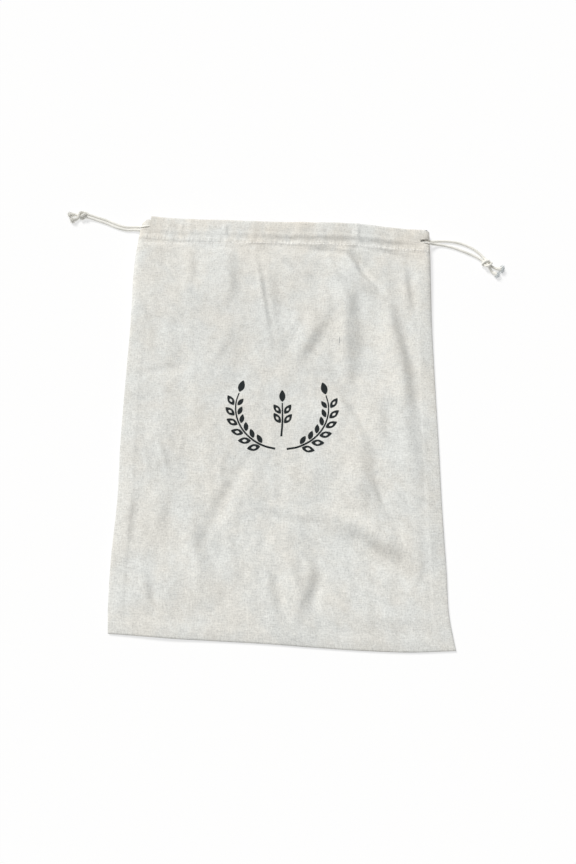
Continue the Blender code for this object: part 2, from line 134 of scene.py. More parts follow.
# Main folds: rise above the panel, half width, places along the fold
FOLDS = (
    (4.2, 8.0, ((18, 372), (38, 360), (48, 344), (54, 281), (57, 222))),
    (-1.0, 7.0, ((46, 366), (66, 335), (70, 290), (69, 244))),
    (4.0, 8.5, ((62, 374), (75, 356), (90, 328), (100, 284), (106, 258), (113, 200), (120, 133))),
    (-1.2, 7.0, ((100, 335), (108, 300), (118, 250), (124, 200))),
    (-1.0, 7.0, ((112, 366), (120, 335), (127, 305))),
    (2.2, 9.0, ((-44, 372), (-28, 342), (-20, 315), (-14, 281), (-4, 251))),
    (-0.8, 7.0, ((-17, 365), (0, 352), (18, 336))),
    (1.6, 10.0, ((28, 330), (22, 290), (6, 250))),
    (-1.1, 7.0, ((38, 263), (54, 230), (69, 202), (81, 187), (85, 146), (99, 114))),
    (2.6, 7.5, ((70, 234), (88, 202), (105, 171), (117, 137))),
    (2.4, 9.0, ((52, 205), (66, 172), (72, 140), (84, 112))),
    (3.2, 7.0, ((-12, 82), (8, 68), (16, 42), (25, 22))),
    (-1.0, 6.0, ((-17, 74), (-7, 44), (8, 16))),
    (-1.1, 7.5, ((14, 98), (30, 66), (25, 34))),
    (0.5, 9.0, ((-14, 186), (-32, 145), (-50, 106), (-68, 84))),
    (-0.6, 9.0, ((-24, 184), (-43, 143), (-62, 106), (-79, 84))),
    (1.8, 10.0, ((62, 108), (92, 94), (120, 80))),
    (-1.1, 8.0, ((57, 118), (86, 92), (116, 70))),
    (1.2, 10.0, ((-118, 205), (-116, 175), (-108, 150))),
    (1.0, 11.0, ((-128, 70), (-122, 48), (-126, 26))),
    (1.0, 9.0, ((-96, 360), (-92, 320), (-94, 285))),
    (-0.8, 8.0, ((-147, 241), (-118, 247), (-88, 255))),
    (0.8, 7.0, ((46, 27), (95, 29), (140, 28))),
)

# Creases, finer than the folds: how steeply the cloth tilts from the light there, half width, places
CREASES = (
    (0.70, 5.2, ((57, 373), (69, 349), (82, 334), (89, 321))),
    (-0.25, 4.9, ((7, 370), (30, 363), (45, 350), (52, 333))),
    (0.18, 6.0, ((62, 328), (68, 302), (70, 277), (67, 252))),
    (0.3, 5.5, ((41, 309), (26, 281), (7, 248))),
    (-0.2, 6.0, ((86, 318), (91, 288), (89, 253))),
    (0.18, 5.0, ((105, 293), (112, 268), (122, 249))),
    (0.34, 3.5, ((112, 358), (116, 332), (120, 305))),
    (0.24, 4.4, ((38, 257), (49, 231), (61, 212), (73, 194), (82, 171))),
    (0.26, 4.4, ((78, 206), (92, 181), (106, 163), (115, 142))),
    (0.34, 3.0, ((81, 147), (88, 129), (99, 110))),
    (0.34, 2.5, ((-33, 368), (-27, 341), (-22, 315), (-14, 274))),
    (0.22, 4.0, ((-14, 364), (2, 354), (22, 331))),
    (0.2, 3.0, ((-145, 312), (-136, 299), (-124, 286))),
    (0.2, 3.0, ((-147, 245), (-119, 249), (-89, 255))),
    (0.22, 2.5, ((-135, 193), (-125, 169), (-118, 146))),
    (0.22, 2.5, ((-117, 190), (-107, 163), (-100, 147))),
    (0.18, 2.5, ((-92, 186), (-93, 173), (-95, 163))),
    (0.35, 3.5, ((-55, 159), (-55, 151), (-45, 142))),
    (0.2, 4.9, ((-28, 182), (-40, 159), (-56, 131), (-67, 104), (-77, 81))),
    (0.16, 3.0, ((-10, 159), (-7, 143), (-2, 127))),
    (0.26, 3.0, ((-29, 120), (-7, 117), (17, 111), (45, 113))),
    (0.4, 8.0, ((48, 107), (66, 102), (82, 89), (97, 80), (110, 73))),
    (0.26, 5.5, ((14, 99), (21, 85), (30, 71), (29, 54), (23, 35), (20, 24))),
    (0.26, 4.4, ((-19, 83), (-10, 66), (-4, 45), (5, 24), (12, 16))),
    (-0.2, 4.0, ((-55, 104), (-50, 87), (-43, 71))),
    (0.26, 7.0, ((-79, 103), (-70, 77), (-56, 50))),
    (0.26, 4.0, ((-131, 133), (-134, 102), (-135, 73))),
    (0.24, 4.0, ((-118, 61), (-114, 46), (-110, 31))),
    (0.18, 3.5, ((55, 85), (61, 64), (70, 43))),
    (0.2, 2.5, ((110, 139), (123, 131), (139, 127))),
    (0.22, 3.0, ((122, 83), (124, 70), (119, 55))),
    (0.2, 4.4, ((-97, 371), (-93, 339), (-96, 308))),
    (0.18, 6.0, ((-58, 367), (-53, 341), (-55, 304))),
    (0.2, 4.0, ((9, 314), (13, 302), (8, 290))),
    (0.2, 4.0, ((-56, 283), (-63, 263), (-71, 248))),
    (0.18, 3.0, ((-26, 272), (-21, 260), (-13, 250))),
    (0.22, 3.0, ((51, 184), (60, 171), (67, 152))),
    (0.2, 4.4, ((102, 229), (109, 205), (121, 186))),
    (0.16, 6.0, ((-111, 138), (-105, 120), (-108, 94))),
    (0.18, 4.0, ((-26, 53), (-21, 36), (-12, 22))),
    (0.32, 3.8, ((14, 377), (38, 374), (60, 368))),
    (0.3, 3.8, ((81, 376), (100, 373), (117, 367))),
    (-0.26, 4.8, ((60, 376), (66, 366), (72, 354))),
    (0.2, 3.6, ((-92, 377), (-60, 376), (-36, 375))),
)
FROM_LIGHT = (0.67, -0.75)
FOLD_REACH = 3
CREASE_REACH, CREASE_SPREAD = 3.5, 1.4
CREASE_STOP = 7.0
FOLD_GAIN = 1.25
SEAM_BAND = (0.45, 14.0, 11.0, 1.6)
LEVEL_WAVES = ((0.8, 46.0, 0.7, 3.1), (0.45, 21.0, 0.7, 7.7), (0.20, 8.0, 0.7, 12.9),
               (0.38, 11.0, 0.28, 17.3))
CRUMPLES = ((2.6, 38.0, 0.60, 41.3), (1.15, 18.0, 0.50, 47.9))
CRISPNESS = 0.045
CASING_WAVES = ((0.45, 16.0, 21.3), (0.28, 6.0, 25.1))
VALLEY_DEPTH = (0.15, 0.4)
OVER_CORD, OFF_CORD = 0.75, 1.2

# The casing: how slack it is across the bag, and how its relief joins the panel's
SLACK_FROM, SLACK_TO = (-60, 70), (125, 30)
PUCKER_GAIN = 0.5
CASING_STRETCH = 0.6
CASING_BLEND = 3.0
CASING_CALM = 0.7
CRUMPLE_SLANT = (0.25, 0.15)
LEAST_RISE = 0.6

# The turned-in layers: size and seed of their slack, and the size of its lumps
FRONT_SLACK, BACK_SLACK = (0.5, 31.7), (0.3, 37.7)
LINING_LUMP = 14.0

# Casing puckers: across, rise, half width
PUCKERS = (
    (-118, 0.9, 4.0), (-99, 1.0, 3.5), (-80, 0.6, 5.0), (-60, 1.0, 4.0), (-36, 1.2, 4.0), (-12, 0.7, 5.0),
    (10, 0.9, 4.0), (31, 0.6, 5.0), (63, 1.2, 4.0), (82, 0.8, 4.5), (104, 0.9, 4.0),
)

# Gathers that cross the casing: rise, half width, places
GATHERS = (
    (0.9, 1.7, ((-105.3, 398), (-107.3, 388), (-102.3, 379))),
    (-0.7, 1.8, ((-110.5, 396), (-111, 388), (-106, 380))),
    (0.9, 1.7, ((-64.3, 399), (-63.5, 388), (-60.3, 378))),
    (-0.8, 1.6, ((-60.5, 392), (-60, 385), (-57.5, 377))),
    (1.0, 2.0, ((66, 397), (65, 387), (70, 377))),
    (-0.7, 2.0, ((60.5, 395), (60, 386), (64.5, 378))),
    (-0.6, 1.8, ((-2, 388), (0.5, 382), (5, 377))),
    (0.4, 2.4, ((-20, 398), (-18, 388), (-14, 379))),
    (0.4, 2.2, ((30, 398), (31, 388), (33, 379))),
    (0.35, 2.4, ((100, 396), (101, 387), (104, 378))),
)

# Free cords, from the slit to the face of the knot: across, up the bag, height of the middle
CORD_LEVEL = CORD / 2 + 0.1
OVER_CLOTH = 2.55
FREE_CORDS = {
    "cord_left_front": (
        (-138.9, 394.4, 7.2), (-142.0, 394.4, 6.9), (-146.5, 394.4, 5.4), (-151.5, 395.2, 3.2),
        (-156.5, 396.0, 1.7), (-163.0, 396.0, CORD_LEVEL), (-170.0, 397.5, CORD_LEVEL),
        (-176.6, 399.9, CORD_LEVEL), (-183.5, 402.7, CORD_LEVEL), (-190.6, 405.0, CORD_LEVEL),
        (-197.0, 407.0, 1.6), (-203.1, 408.4, 2.5)),
    "cord_left_back": (
        (-138.9, 390.5, OVER_CLOTH), (-144.0, 390.9, OVER_CLOTH), (-150.6, 392.3, OVER_CLOTH),
        (-156.0, 393.0, 1.6), (-163.2, 392.8, CORD_LEVEL), (-170.6, 394.5, CORD_LEVEL),
        (-177.6, 396.9, CORD_LEVEL), (-184.5, 399.8, CORD_LEVEL), (-191.4, 402.1, CORD_LEVEL),
        (-197.6, 404.0, 1.6), (-203.6, 405.4, 2.5)),
    "cord_right_front": (
        (132.5, 384.0, 7.2), (135.6, 384.1, 6.8), (140.0, 384.6, 4.2), (144.6, 385.2, 2.2),
        (150.0, 385.0, CORD_LEVEL), (156.5, 383.8, CORD_LEVEL), (164.5, 381.4, CORD_LEVEL),
        (172.0, 378.4, CORD_LEVEL), (179.2, 375.2, CORD_LEVEL), (184.6, 372.3, 1.6),
        (189.6, 368.6, 2.6)),
    "cord_right_back": (
        (132.4, 388.0, OVER_CLOTH), (137.0, 387.9, OVER_CLOTH), (141.6, 388.2, 2.4),
        (148.0, 389.2, CORD_LEVEL), (157.0, 389.3, CORD_LEVEL), (166.5, 387.8, CORD_LEVEL),
        (175.6, 384.6, CORD_LEVEL), (183.2, 380.0, CORD_LEVEL), (188.8, 374.6, 1.6),
        (192.4, 369.5, 2.5)),
}

# Drawcords: lanes of the front and the back, where each lane stops, its turn, way in and way out at the slit
DRAWCORDS = {
    "left": ("cord_run_left", "cord_left_front", "cord_left_back", (UPPER_LANE, LOWER_LANE), (-124.0, 126.2),
             129.95,
             ((-138.5, 394.4, 7.2), (-132.0, 394.7, 7.6)),
             ((-131.0, 389.4, OVER_CLOTH), (-138.5, 390.5, OVER_CLOTH))),
    "right": ("cord_run_right", "cord_right_front", "cord_right_back", (LOWER_LANE, UPPER_LANE),
              (117.0, -132.2), -135.95,
              ((132.0, 384.0, 7.2), (127.0, 383.3, 7.5)),
              ((127.0, 388.1, OVER_CLOTH), (132.0, 388.0, OVER_CLOTH))),
}
LANE_PLACES = 48

# Knots: middle, way the pair comes in, and the cut ends from root to tip
KNOTS = {
    "left": ("knot_left", (-208.4, 407.3), -13, (
        ((-211.0, 408.0), (-214.5, 408.4), (-217.6, 408.2), (-220.8, 407.4)),
        ((-210.6, 405.4), (-213.4, 403.8), (-215.8, 402.6), (-218.0, 401.6)))),
    "right": ("knot_right", (192.2, 363.9), 105, (
        ((194.6, 363.0), (199.0, 362.0), (203.5, 360.8), (207.8, 360.4)),
        ((193.4, 361.4), (197.0, 358.2), (200.0, 356.0), (203.0, 354.4)))),
}


def read(table, column, at):
    """A smooth curve through one column of a table, read at the first column's values."""
    rows = np.array([(row[0], row[column]) for row in table], dtype=float)
    steps, values = rows[:, 0], rows[:, 1]
    slopes = np.gradient(values, steps)
    at = np.clip(np.asarray(at, dtype=float), steps[0], steps[-1])
    i = np.clip(np.searchsorted(steps, at) - 1, 0, len(steps) - 2)
    span = steps[i + 1] - steps[i]
    u = (at - steps[i]) / span
    start, end = values[i], values[i + 1]
    rise, fall = slopes[i] * span, slopes[i + 1] * span
    return (start * (1 + 2 * u) * (1 - u) ** 2 + rise * u * (1 - u) ** 2
            + end * u * u * (3 - 2 * u) + fall * u * u * (u - 1))


def smooth_path(points, spacing):
    """Points a set distance apart on a smooth curve through the route's own points."""
    route = np.array(points, dtype=float)
    run = np.concatenate([[0], np.cumsum(np.linalg.norm(np.diff(route, axis=0), axis=1))])
    fine = np.linspace(0, run[-1], 40 * len(route))
    table = [(step, *place) for step, place in zip(run, route)]
    curve = np.column_stack([read(table, column + 1, fine) for column in range(route.shape[1])])
    return evenly(curve, spacing)


def evenly(curve, spacing):
    """The same line with its points a set distance apart."""
    length = np.concatenate([[0], np.cumsum(np.linalg.norm(np.diff(curve, axis=0), axis=1))])
    stops = np.linspace(0, length[-1], max(2, round(length[-1] / spacing) + 1))
    return np.column_stack([np.interp(stops, length, curve[:, axis]) for axis in range(curve.shape[1])])


def ease(value):
    """A soft step from 0 to 1."""
    value = np.clip(value, 0, 1)
    return value * value * (3 - 2 * value)


def bell(value):
    return np.exp(-value * value)


def side_edge(column, y):
    return read(SIDE_EDGES, column, y)


def share_across(x, y):
    left, right = side_edge(1, y), side_edge(2, y)
    return (x - left) / (right - left)


def mouth_edge(x):
    return read(END_EDGES, 2, share_across(x, BAG_LENGTH))


def spine_near(places, half_width, reach, x, y):
    """A fold's middle line, and which places on the front are within its reach."""
    spine = smooth_path(places, half_width / 2)
    low, high = spine.min(0) - reach * half_width, spine.max(0) + reach * half_width
    return spine, (x > low[0]) & (x < high[0]) & (y > low[1]) & (y < high[1])


def kept_share(along):
    """How much of its size a fold has this share of the way along it."""
    fade = ease(along / FOLD_FADE) * ease((1 - along) / FOLD_FADE)
    return FOLD_END_SHARE + (1 - FOLD_END_SHARE) * fade


def relief(table, x, y):
    """The sum of a table of folds at a place on the front."""
    total = np.zeros_like(x)
    for rise, half_width, places in table:
        spine, near = spine_near(places, half_width, FOLD_REACH, x, y)
        gap = np.hypot(x[near][:, None] - spine[:, 0], y[near][:, None] - spine[:, 1])
        share = kept_share(gap.argmin(axis=-1) / (len(spine) - 1))
        total[near] += rise * bell(gap.min(axis=-1) / half_width) * share
    return total


def tilts(table, x, y):
    """The sum of a table of creases: across each, the cloth falls away from the light and comes back softly."""
    total = np.zeros_like(x)
    for tilt, half_width, places in table:
        spine, near = spine_near(places, half_width, CREASE_REACH, x, y)
        if not near.any():
            continue
        way = np.gradient(spine, axis=0)
        way /= np.linalg.norm(way, axis=1)[:, None]
        off = np.column_stack([-way[:, 1], way[:, 0]])
        facing = float((off @ FROM_LIGHT).mean())
        off = off * math.copysign(1, facing) / max(abs(facing), LEAST_FACING)
        apart = np.stack([x[near][:, None] - spine[:, 0], y[near][:, None] - spine[:, 1]], axis=-1)
        gap = np.linalg.norm(apart, axis=-1)
        nearest = gap.argmin(axis=-1)
        picked = apart[np.arange(len(nearest)), nearest]
        across = (picked * off[nearest]).sum(axis=-1)
        share = kept_share(nearest / (len(spine) - 1))
        total[near] -= tilt * across * bell(gap.min(axis=-1) / half_width / CREASE_SPREAD) * share
    return total


def uneven(x, y, size, seed):
    """Soft unevenness from -1 to 1, with lumps of about this size."""
    return np.array([noise.noise(Vector((px / size, py / size, seed))) for px, py in zip(x.ravel(), y.ravel())]
                    ).reshape(x.shape)


def band_height(x):
    """The height of the front casing over the table, without its puckers."""
    middle = (MOUTH_LEFT + MOUTH_RIGHT) / 2
    half = (MOUTH_RIGHT - MOUTH_LEFT) / 2
    return 2 * CASING + MOUTH_GAPE * (1 - np.clip(abs(x - middle) / half, 0, 1) ** 4) ** 2


class Place:
    """Where a point of the cloth lies on the bag's plan, and how far it is from each edge."""

    def __init__(self, x, y):
        self.x, self.y = x, y
        self.across = share_across(x, y)
        self.side = np.clip(np.minimum(x - side_edge(1, y), side_edge(2, y) - x), 0, None)
        self.foot = np.clip(y - read(END_EDGES, 1, self.across), 0, None)
        self.down = read(END_EDGES, 2, self.across) - y
        self.stitch = read(END_EDGES, 3, self.across)
        self.edge = np.minimum(self.side, self.foot)


LIFTED_EDGE = (-101.0, 30.0, 1.7, 22.0)


def lifted(place):
    """How far the lower end stands off the table where it has curled up."""
    middle, half, rise, depth = LIFTED_EDGE
    return rise * bell((place.x - middle) / half) * (1 - ease(place.foot / depth))


def seam_edge(place):
    """The height of the seamed edge, which the front and the back share."""
    return EDGE_HEIGHT + lifted(place)


def rounded(inset):
    """How much of its full height the cloth has this far in from the seamed edge."""
    return np.sqrt(1 - np.clip(1 - inset / EDGE_ROUND, 0, 1) ** 2)


def slack_there(x):
    """How slack the casing is: 0 on the left, 1 in the right half, where it is drawn together most."""
    return ease((x - SLACK_FROM[0]) / SLACK_FROM[1]) * ease((SLACK_TO[0] - x) / SLACK_TO[1])


def casing_fall(place):
    """How far the casing has come down from its cords towards its stitches."""
    depth = FALL[0] + (FALL[1] - FALL[0]) * slack_there(place.x)
    return depth * ease((place.down - FALL_FROM) / FALL_RUN)


def casing_relief(place):
    """What the puckers, the gathers and the valley between the cords add to the casing."""
    puckers = sum(PUCKER_GAIN * rise * bell((place.x - spot) / width) for spot, rise, width in PUCKERS)
    depth = VALLEY_DEPTH[0] + (VALLEY_DEPTH[1] - VALLEY_DEPTH[0]) * slack_there(place.x)
    valley = depth * bell((place.down - VALLEY_PLACE) / VALLEY_WIDTH)
    waves = sum(size * uneven(place.x, place.y * CASING_STRETCH, lump, seed) for size, lump, seed in CASING_WAVES)
    return puckers - valley + waves + relief(GATHERS, place.x, place.y)


def front_face(x, y):
    """The height of the front's outer face over the table."""
    place = Place(x, y)
    filled = (1 - np.exp(-place.side / PANEL_FILL)) * (1 - np.exp(-place.foot / PANEL_FILL))
    panel = SEAM_HEIGHT + (PANEL_HEIGHT - SEAM_HEIGHT) * filled
    corner = np.sqrt(1 - np.clip(1 - place.side / CORNER_ROUND, 0, 1) ** 2)
    in_casing = ease((y - place.stitch + CASING_BLEND / 2) / CASING_BLEND)
    mouth = SEAM_HEIGHT + (band_height(x) - casing_fall(place) - SEAM_HEIGHT) * corner
    rise = ease((y - RISE_START) / (place.stitch - RISE_START))
    stop = ease((y - place.stitch + FOLD_STOP_BELOW) / FOLD_STOP_RUN)
    folds = FOLD_GAIN * relief(FOLDS, x, y) * filled * (1 - stop) * (1 - MOUTH_SLACK * rise)
    crease_stop = ease((y - place.stitch + CREASE_STOP) / CREASE_STOP)
    creases = tilts(CREASES, x, y) * filled * (1 - crease_stop)
    bulge, side_band, foot_band, soft = SEAM_BAND
    allowance = bulge * np.maximum(1 - ease((place.side - side_band) / soft),
                                   1 - ease((place.foot - foot_band) / soft)) * (1 - rise)
    waves = sum(size * uneven(x, y * stretch, lump, seed) for size, lump, stretch, seed in LEVEL_WAVES)
    slant = CRUMPLE_SLANT
    waves = waves + sum(size * np.hypot(uneven(x + y * slant[0], y * stretch - x * slant[1], lump, seed), CRISPNESS)
                        for size, lump, stretch, seed in CRUMPLES)
    waves = waves * filled
    height = panel * (1 - rise) + mouth * rise + folds + creases + allowance + waves * (1 - CASING_CALM * in_casing)
    height = height + in_casing * corner * casing_relief(place)
    sag, half, sag_from, sag_run = SLIT_SAG
    height = height - sag * bell((y - RIGHT_SLIT_Y) / half) * ease((x - sag_from) / sag_run)
    height = height - STITCH_GROOVE * bell((y - place.stitch) / GROOVE_WIDTH) * corner
    for down in (UPPER_LANE, LOWER_LANE):
        over_cord = band_height(x) - OVER_CORD - OFF_CORD * ((place.down - down) / CORD) ** 2
        height = np.maximum(height, over_cord * corner)
    edge = seam_edge(place)
    return edge + (np.maximum(height + lifted(place), edge + LEAST_RISE) - edge) * rounded(place.edge)


def back_face(x, y):
    """The height of the back's outer face: the table, but for the rounded and lifted edges."""
    place = Place(x, y)
    edge = seam_edge(place)
    return edge + (lifted(place) - edge) * rounded(place.edge)


def sewn_share(place, y):
    """0 where a turned-in layer hangs free, and 1 where it is sewn down."""
    return ease((place.down - TUNNEL_CLEAR_TO) / (place.down + y - place.stitch - TUNNEL_CLEAR_TO))


def lining_slack(x, y, size, seed):
    return size * uneven(x, y * CASING_STRETCH, LINING_LUMP, seed)


def front_lining(x, y):
    """The height of the turned-in layer of the front casing, its face to the mouth."""
    place = Place(x, y)
    sewn = sewn_share(place, y)
    slack = lining_slack(x, y, *FRONT_SLACK) * (1 - sewn)
    hang = band_height(x) - BAND + slack
    return hang * (1 - sewn) + (front_face(x, y) - SEWN_GAP) * sewn


def back_lining(x, y):
    """The height of the turned-in layer of the back casing, its face to the mouth."""
    place = Place(x, y)
    sewn = sewn_share(place, y)
    slack = lining_slack(x, y, *BACK_SLACK) * (1 - sewn)
    return (BACK_BAND + slack) * (1 - sewn) + SEWN_GAP * sewn


LINING_JOIN = 5.0
LINING_ROWS = (LIP, 4.0, 6.0, 8.0, 9.5, 11.0, 12.5, 14.0, 15.5, 17.0, 18.5, 20.0, 21.5, 23.0, 24.5, 26.0)


def inner_edge(column, y):
    """Where the turned-in layers end at a side, a little in from the seam."""
    return side_edge(column, y) + (INNER_INSET if column == 1 else -INNER_INSET)


def right_slit(y, right):
    """How far the slit draws the front back from the right seam."""
    off = np.clip(np.abs(y - RIGHT_SLIT_Y) / RIGHT_SLIT_HALF, 0, 1)
    depth = right - RIGHT_SLIT_TIP - RIGHT_SLIT_REACH * off ** SLIT_SHAPE
    return depth * (1 - ease((off - SLIT_CLOSE) / (1 - SLIT_CLOSE)))


class Panel:
    """One side of the bag as a grid: up the outside, over the lip and down the inside of its casing."""

    def __init__(self, across, up, outer, lining, is_front):
        self.outer, self.lining, self.is_front = outer, lining, is_front
        self.across = across
        to_corner = np.clip(1 - across * BAG_WIDTH / LEFT_CORNER_ROUND, 0, 1)
        self.corner_drop = LEFT_CORNER_ROUND * (1 - np.sqrt(1 - to_corner ** 2)) * (0 if is_front else 0.8)
        rows = [self.outer_row(share) for share in up]
        lip = [self.lip_row(turn) for turn in np.linspace(0, math.pi, 9)[1:-1]]
        inside = [self.inner_row(depth) for depth in LINING_ROWS]
        self.grid = np.array(rows + lip + inside)
        self.flat = np.array(self.flat_rows(up, len(lip), LINING_ROWS))

    def spread(self, left, right):
        return left * (1 - self.across) + right * self.across

    def pulled(self, x, y, left, right):
        """The same places, drawn in where a slit parts this panel from the other."""
        if not self.is_front:
            return x
        near_left = np.clip(1 - (x - left) / LEFT_PULL, 0, 1) ** 2
        near_right = np.clip(1 - (right - x) / RIGHT_PULL, 0, 1) ** 2
        open_left = np.clip(LEFT_END - left, 0, None) * ease((y - LEFT_SLIT_Y) / LEFT_BLEND)
        return x + open_left * near_left - right_slit(y, right) * near_right

    def outer_row(self, share):
        """A row of the outer layer, this share of the way up to where the lip begins to turn."""
        y_low = read(END_EDGES, 1, self.across)
        y_high = read(END_EDGES, 2, self.across) - LIP
        y = y_low * (1 - share) + y_high * share
        y = y - self.corner_drop * ease((share - LEFT_CORNER_FROM) / (1 - LEFT_CORNER_FROM))
        left, right = side_edge(1, y), side_edge(2, y)
        x = self.pulled(self.spread(left, right), y, left, right)
        return np.column_stack([x, y, self.outer(x, y)])

    def spread_inside(self, y, left, right):
        """The places across the turned-in layer, which ends a little short of the seams."""
        short_left = short_right = INNER_INSET
        if not self.is_front:
            short_right = INNER_INSET - BACK_REACH_RIGHT * bell((y - RIGHT_SLIT_Y) / BACK_REACH_HALF)
            short_left = BACK_SHORT_LEFT - BACK_SHORT_CHANGE * ease((y - LEFT_CORNER_Y) / LEFT_CORNER_RUN)
        return self.pulled(self.spread(left + short_left, right - short_right), y, left, right)

    def lip_row(self, turn):
        """A row round the lip, from the outer layer to the turned-in one."""
        y = read(END_EDGES, 2, self.across) - LIP - self.corner_drop
        left, right = side_edge(1, y), side_edge(2, y)
        x_out = self.pulled(self.spread(left, right), y, left, right)
        x_in = self.spread_inside(y, left, right)
        z_out, z_in = self.outer(x_out, y), self.inner_height(x_in, y)
        share = (1 - math.cos(turn)) / 2
        x = x_out * (1 - share) + x_in * share
        z = (z_out + z_in) / 2 + (z_out - z_in) / 2 * math.cos(turn)
        return np.column_stack([x, y + LIP * math.sin(turn), z])

    def inner_height(self, x, y):
        """The turned-in layer, brought to one height with the other panel's where they are seamed."""
        place_left, place_right = x - inner_edge(1, y), inner_edge(2, y) - x
        joined = ease(np.minimum(place_left, place_right) / LINING_JOIN)
        seamed = CASING
        if not self.is_front:
            down = 1 - ease((x - side_edge(1, y)) / LEFT_CORNER_ROUND)
            seamed = CASING - (CASING - LEFT_CORNER_HEIGHT) * down
        return seamed * (1 - joined) + self.lining(x, y) * joined

    def inner_row(self, depth):
        y = read(END_EDGES, 2, self.across) - depth
        y = y - self.corner_drop * (1 - ease((depth - LIP) / LEFT_CORNER_ROUND))
        x = self.spread_inside(y, side_edge(1, y), side_edge(2, y))
        return np.column_stack([x, y, self.inner_height(x, y)])

    def flat_rows(self, up, lip_rows, depths):
        """The same grid as it was cut, for the weave: across and along the cloth."""
        x = self.spread(-BAG_WIDTH / 2, BAG_WIDTH / 2)
        lip_length = math.pi * LIP
        runs = [share * (BAG_LENGTH - LIP) for share in up]
        runs += [BAG_LENGTH - LIP + lip_length * (i + 1) / (lip_rows + 1) for i in range(lip_rows)]
        runs += [BAG_LENGTH + lip_length + depth - 2 * LIP for depth in depths]
        return [np.column_stack([x, np.full_like(x, run)]) for run in runs]


# Stations of the cloth's grid, closer together where it turns
EDGE_STATIONS = (0.0, 0.4, 1.0, 1.8, 3.0, 4.6, 6.6, 9.0)
ACROSS_STEP, UP_STEP, CASING_STEP = 1.16, 2.8, 0.9
BACK_SHARE = 4
CASING_START = 366.0


def stations_across():
    last = EDGE_STATIONS[-1]
    inner = np.arange(last + ACROSS_STEP, BAG_WIDTH - last - ACROSS_STEP / 2, ACROSS_STEP)
    ends = np.array(EDGE_STATIONS)
    return np.concatenate([ends, inner, BAG_WIDTH - ends[::-1]]) / BAG_WIDTH


def stations_up():
    inner = np.arange(EDGE_STATIONS[-1] + UP_STEP, CASING_START, UP_STEP)
    casing = np.arange(CASING_START, BAG_LENGTH, CASING_STEP)
    return np.concatenate([EDGE_STATIONS, inner, casing, [BAG_LENGTH]]) / BAG_LENGTH


def link(made):
    bpy.context.scene.collection.objects.link(made)
    return made


def fitted(piece, node=None):
    """A finished piece: it rides on the bag and may stand for a CAD node, whose part it hides."""
    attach(piece, BODY)
    if node:
        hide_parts(node)
    return piece


def new_mesh(name, points, faces, looks):
    """A mesh piece from points in the bag's own millimetres."""
    mesh = bpy.data.meshes.new(name)
    places = (np.asarray(points, dtype=float) - (*MIDDLE, 0.0)) * MM
    mesh.from_pydata(places.tolist(), [], faces)
    for look in looks:
        mesh.materials.append(look)
    mesh.shade_smooth()
    mesh.update()
    return link(bpy.data.objects.new(name, mesh))


def grid_faces(rows, columns, first=0, turned=False):
    """The corner numbers of each face of a grid of points."""
    row, column = np.meshgrid(np.arange(rows - 1), np.arange(columns - 1), indexing="ij")
    corner = first + (row * columns + column).ravel()
    faces = np.column_stack([corner, corner + 1, corner + columns + 1, corner + columns])
    return (faces[:, ::-1] if turned else faces).tolist()


def apply_modifiers(made):
    """The finished mesh in place of the object's live modifiers."""
    evaluated = made.evaluated_get(bpy.context.evaluated_depsgraph_get())
    mesh = bpy.data.meshes.new_from_object(evaluated)
    made.modifiers.clear()
    made.data = mesh
    mesh.name = made.name


# How far aside the back panel is laid for its weave, in millimetres
BACK_SHIFT = 1.2 * BAG_WIDTH


def build_cloth(look):
    """The front and the back panel, which meet at the seams, each with its casing turned in at the mouth."""
    up, across = stations_up(), stations_across()
    kept = len(EDGE_STATIONS)
    sparse = np.concatenate([across[:kept], across[kept:-kept:BACK_SHARE], across[-kept:]])
    front = Panel(across, up, front_face, front_lining, True)
    back = Panel(sparse, up, back_face, back_lining, False)
    made = []
    for name, panel, shift in (("bag_front", front, 0.0), ("bag_back", back, BACK_SHIFT)):
        rows, columns = panel.grid.shape[:2]
        faces = grid_faces(rows, columns, turned=not panel.is_front)
        piece = new_mesh(name, panel.grid.reshape(-1, 3), faces, [look])
        lay_flat(piece.data, (panel.flat.reshape(-1, 2) + (shift, 0)) * MM)
        thicken(piece, CLOTH)
        fitted(piece, "bag_cloth")
        made.append(piece)
    return made


def lay_flat(mesh, flat):
    """The cloth's own flat measure, in metres, as its UV map."""
    layer = mesh.uv_layers.new(name="flat")
    corners = np.zeros(len(mesh.loops), dtype=np.int32)
    mesh.loops.foreach_get("vertex_index", corners)
    layer.data.foreach_set("uv", flat[corners].astype(np.float32).ravel())


def thicken(made, thickness):
    solid = made.modifiers.new("thickness", "SOLIDIFY")
    solid.thickness = thickness * MM
    solid.offset = -1.0
    solid.use_even_offset = False
    apply_modifiers(made)


# Twisted cord
STRANDS = 3
CORD_SIDES = 18
LAY_LENGTH = 7.5
STRAND_DEPTH = 0.16
RING_STEP = 0.6


def lane(down, front, first, last):
    """Places along one lane of a casing band."""
    x = np.linspace(first, last, LANE_PLACES)
    z = band_height(x) - TUNNEL_LAYER - TUNNEL / 2 if front else np.full_like(x, TUNNEL_LAYER + TUNNEL / 2)
    return list(zip(x, mouth_edge(x) - down, z))


def held_route(lanes, stops, turn_x, way_in, way_out):
    """A drawcord in the casing: in at its slit, through the front, round the far side and back."""
    front_down, back_down = lanes
    near, far = stops
    turn_y = float(mouth_edge(np.array(turn_x))) - (front_down + back_down) / 2
    front = lane(front_down, True, near, far)
    back = lane(back_down, False, far, near)
    return [*way_in, *front, (turn_x, turn_y, CASING), *back, *way_out]


def frames_along(line):
    """Two directions across the line at each point, carried along it without turning about it."""
    along = np.gradient(line, axis=0)
    along /= np.linalg.norm(along, axis=1)[:, None]
    side = np.cross(along[0], (0, 0, 1))
    sides = []
    for direction in along:
        side = side - direction * (side @ direction)
        side = side / np.linalg.norm(side)
        sides.append(side)
    sides = np.array(sides)
    return sides, np.cross(along, sides)


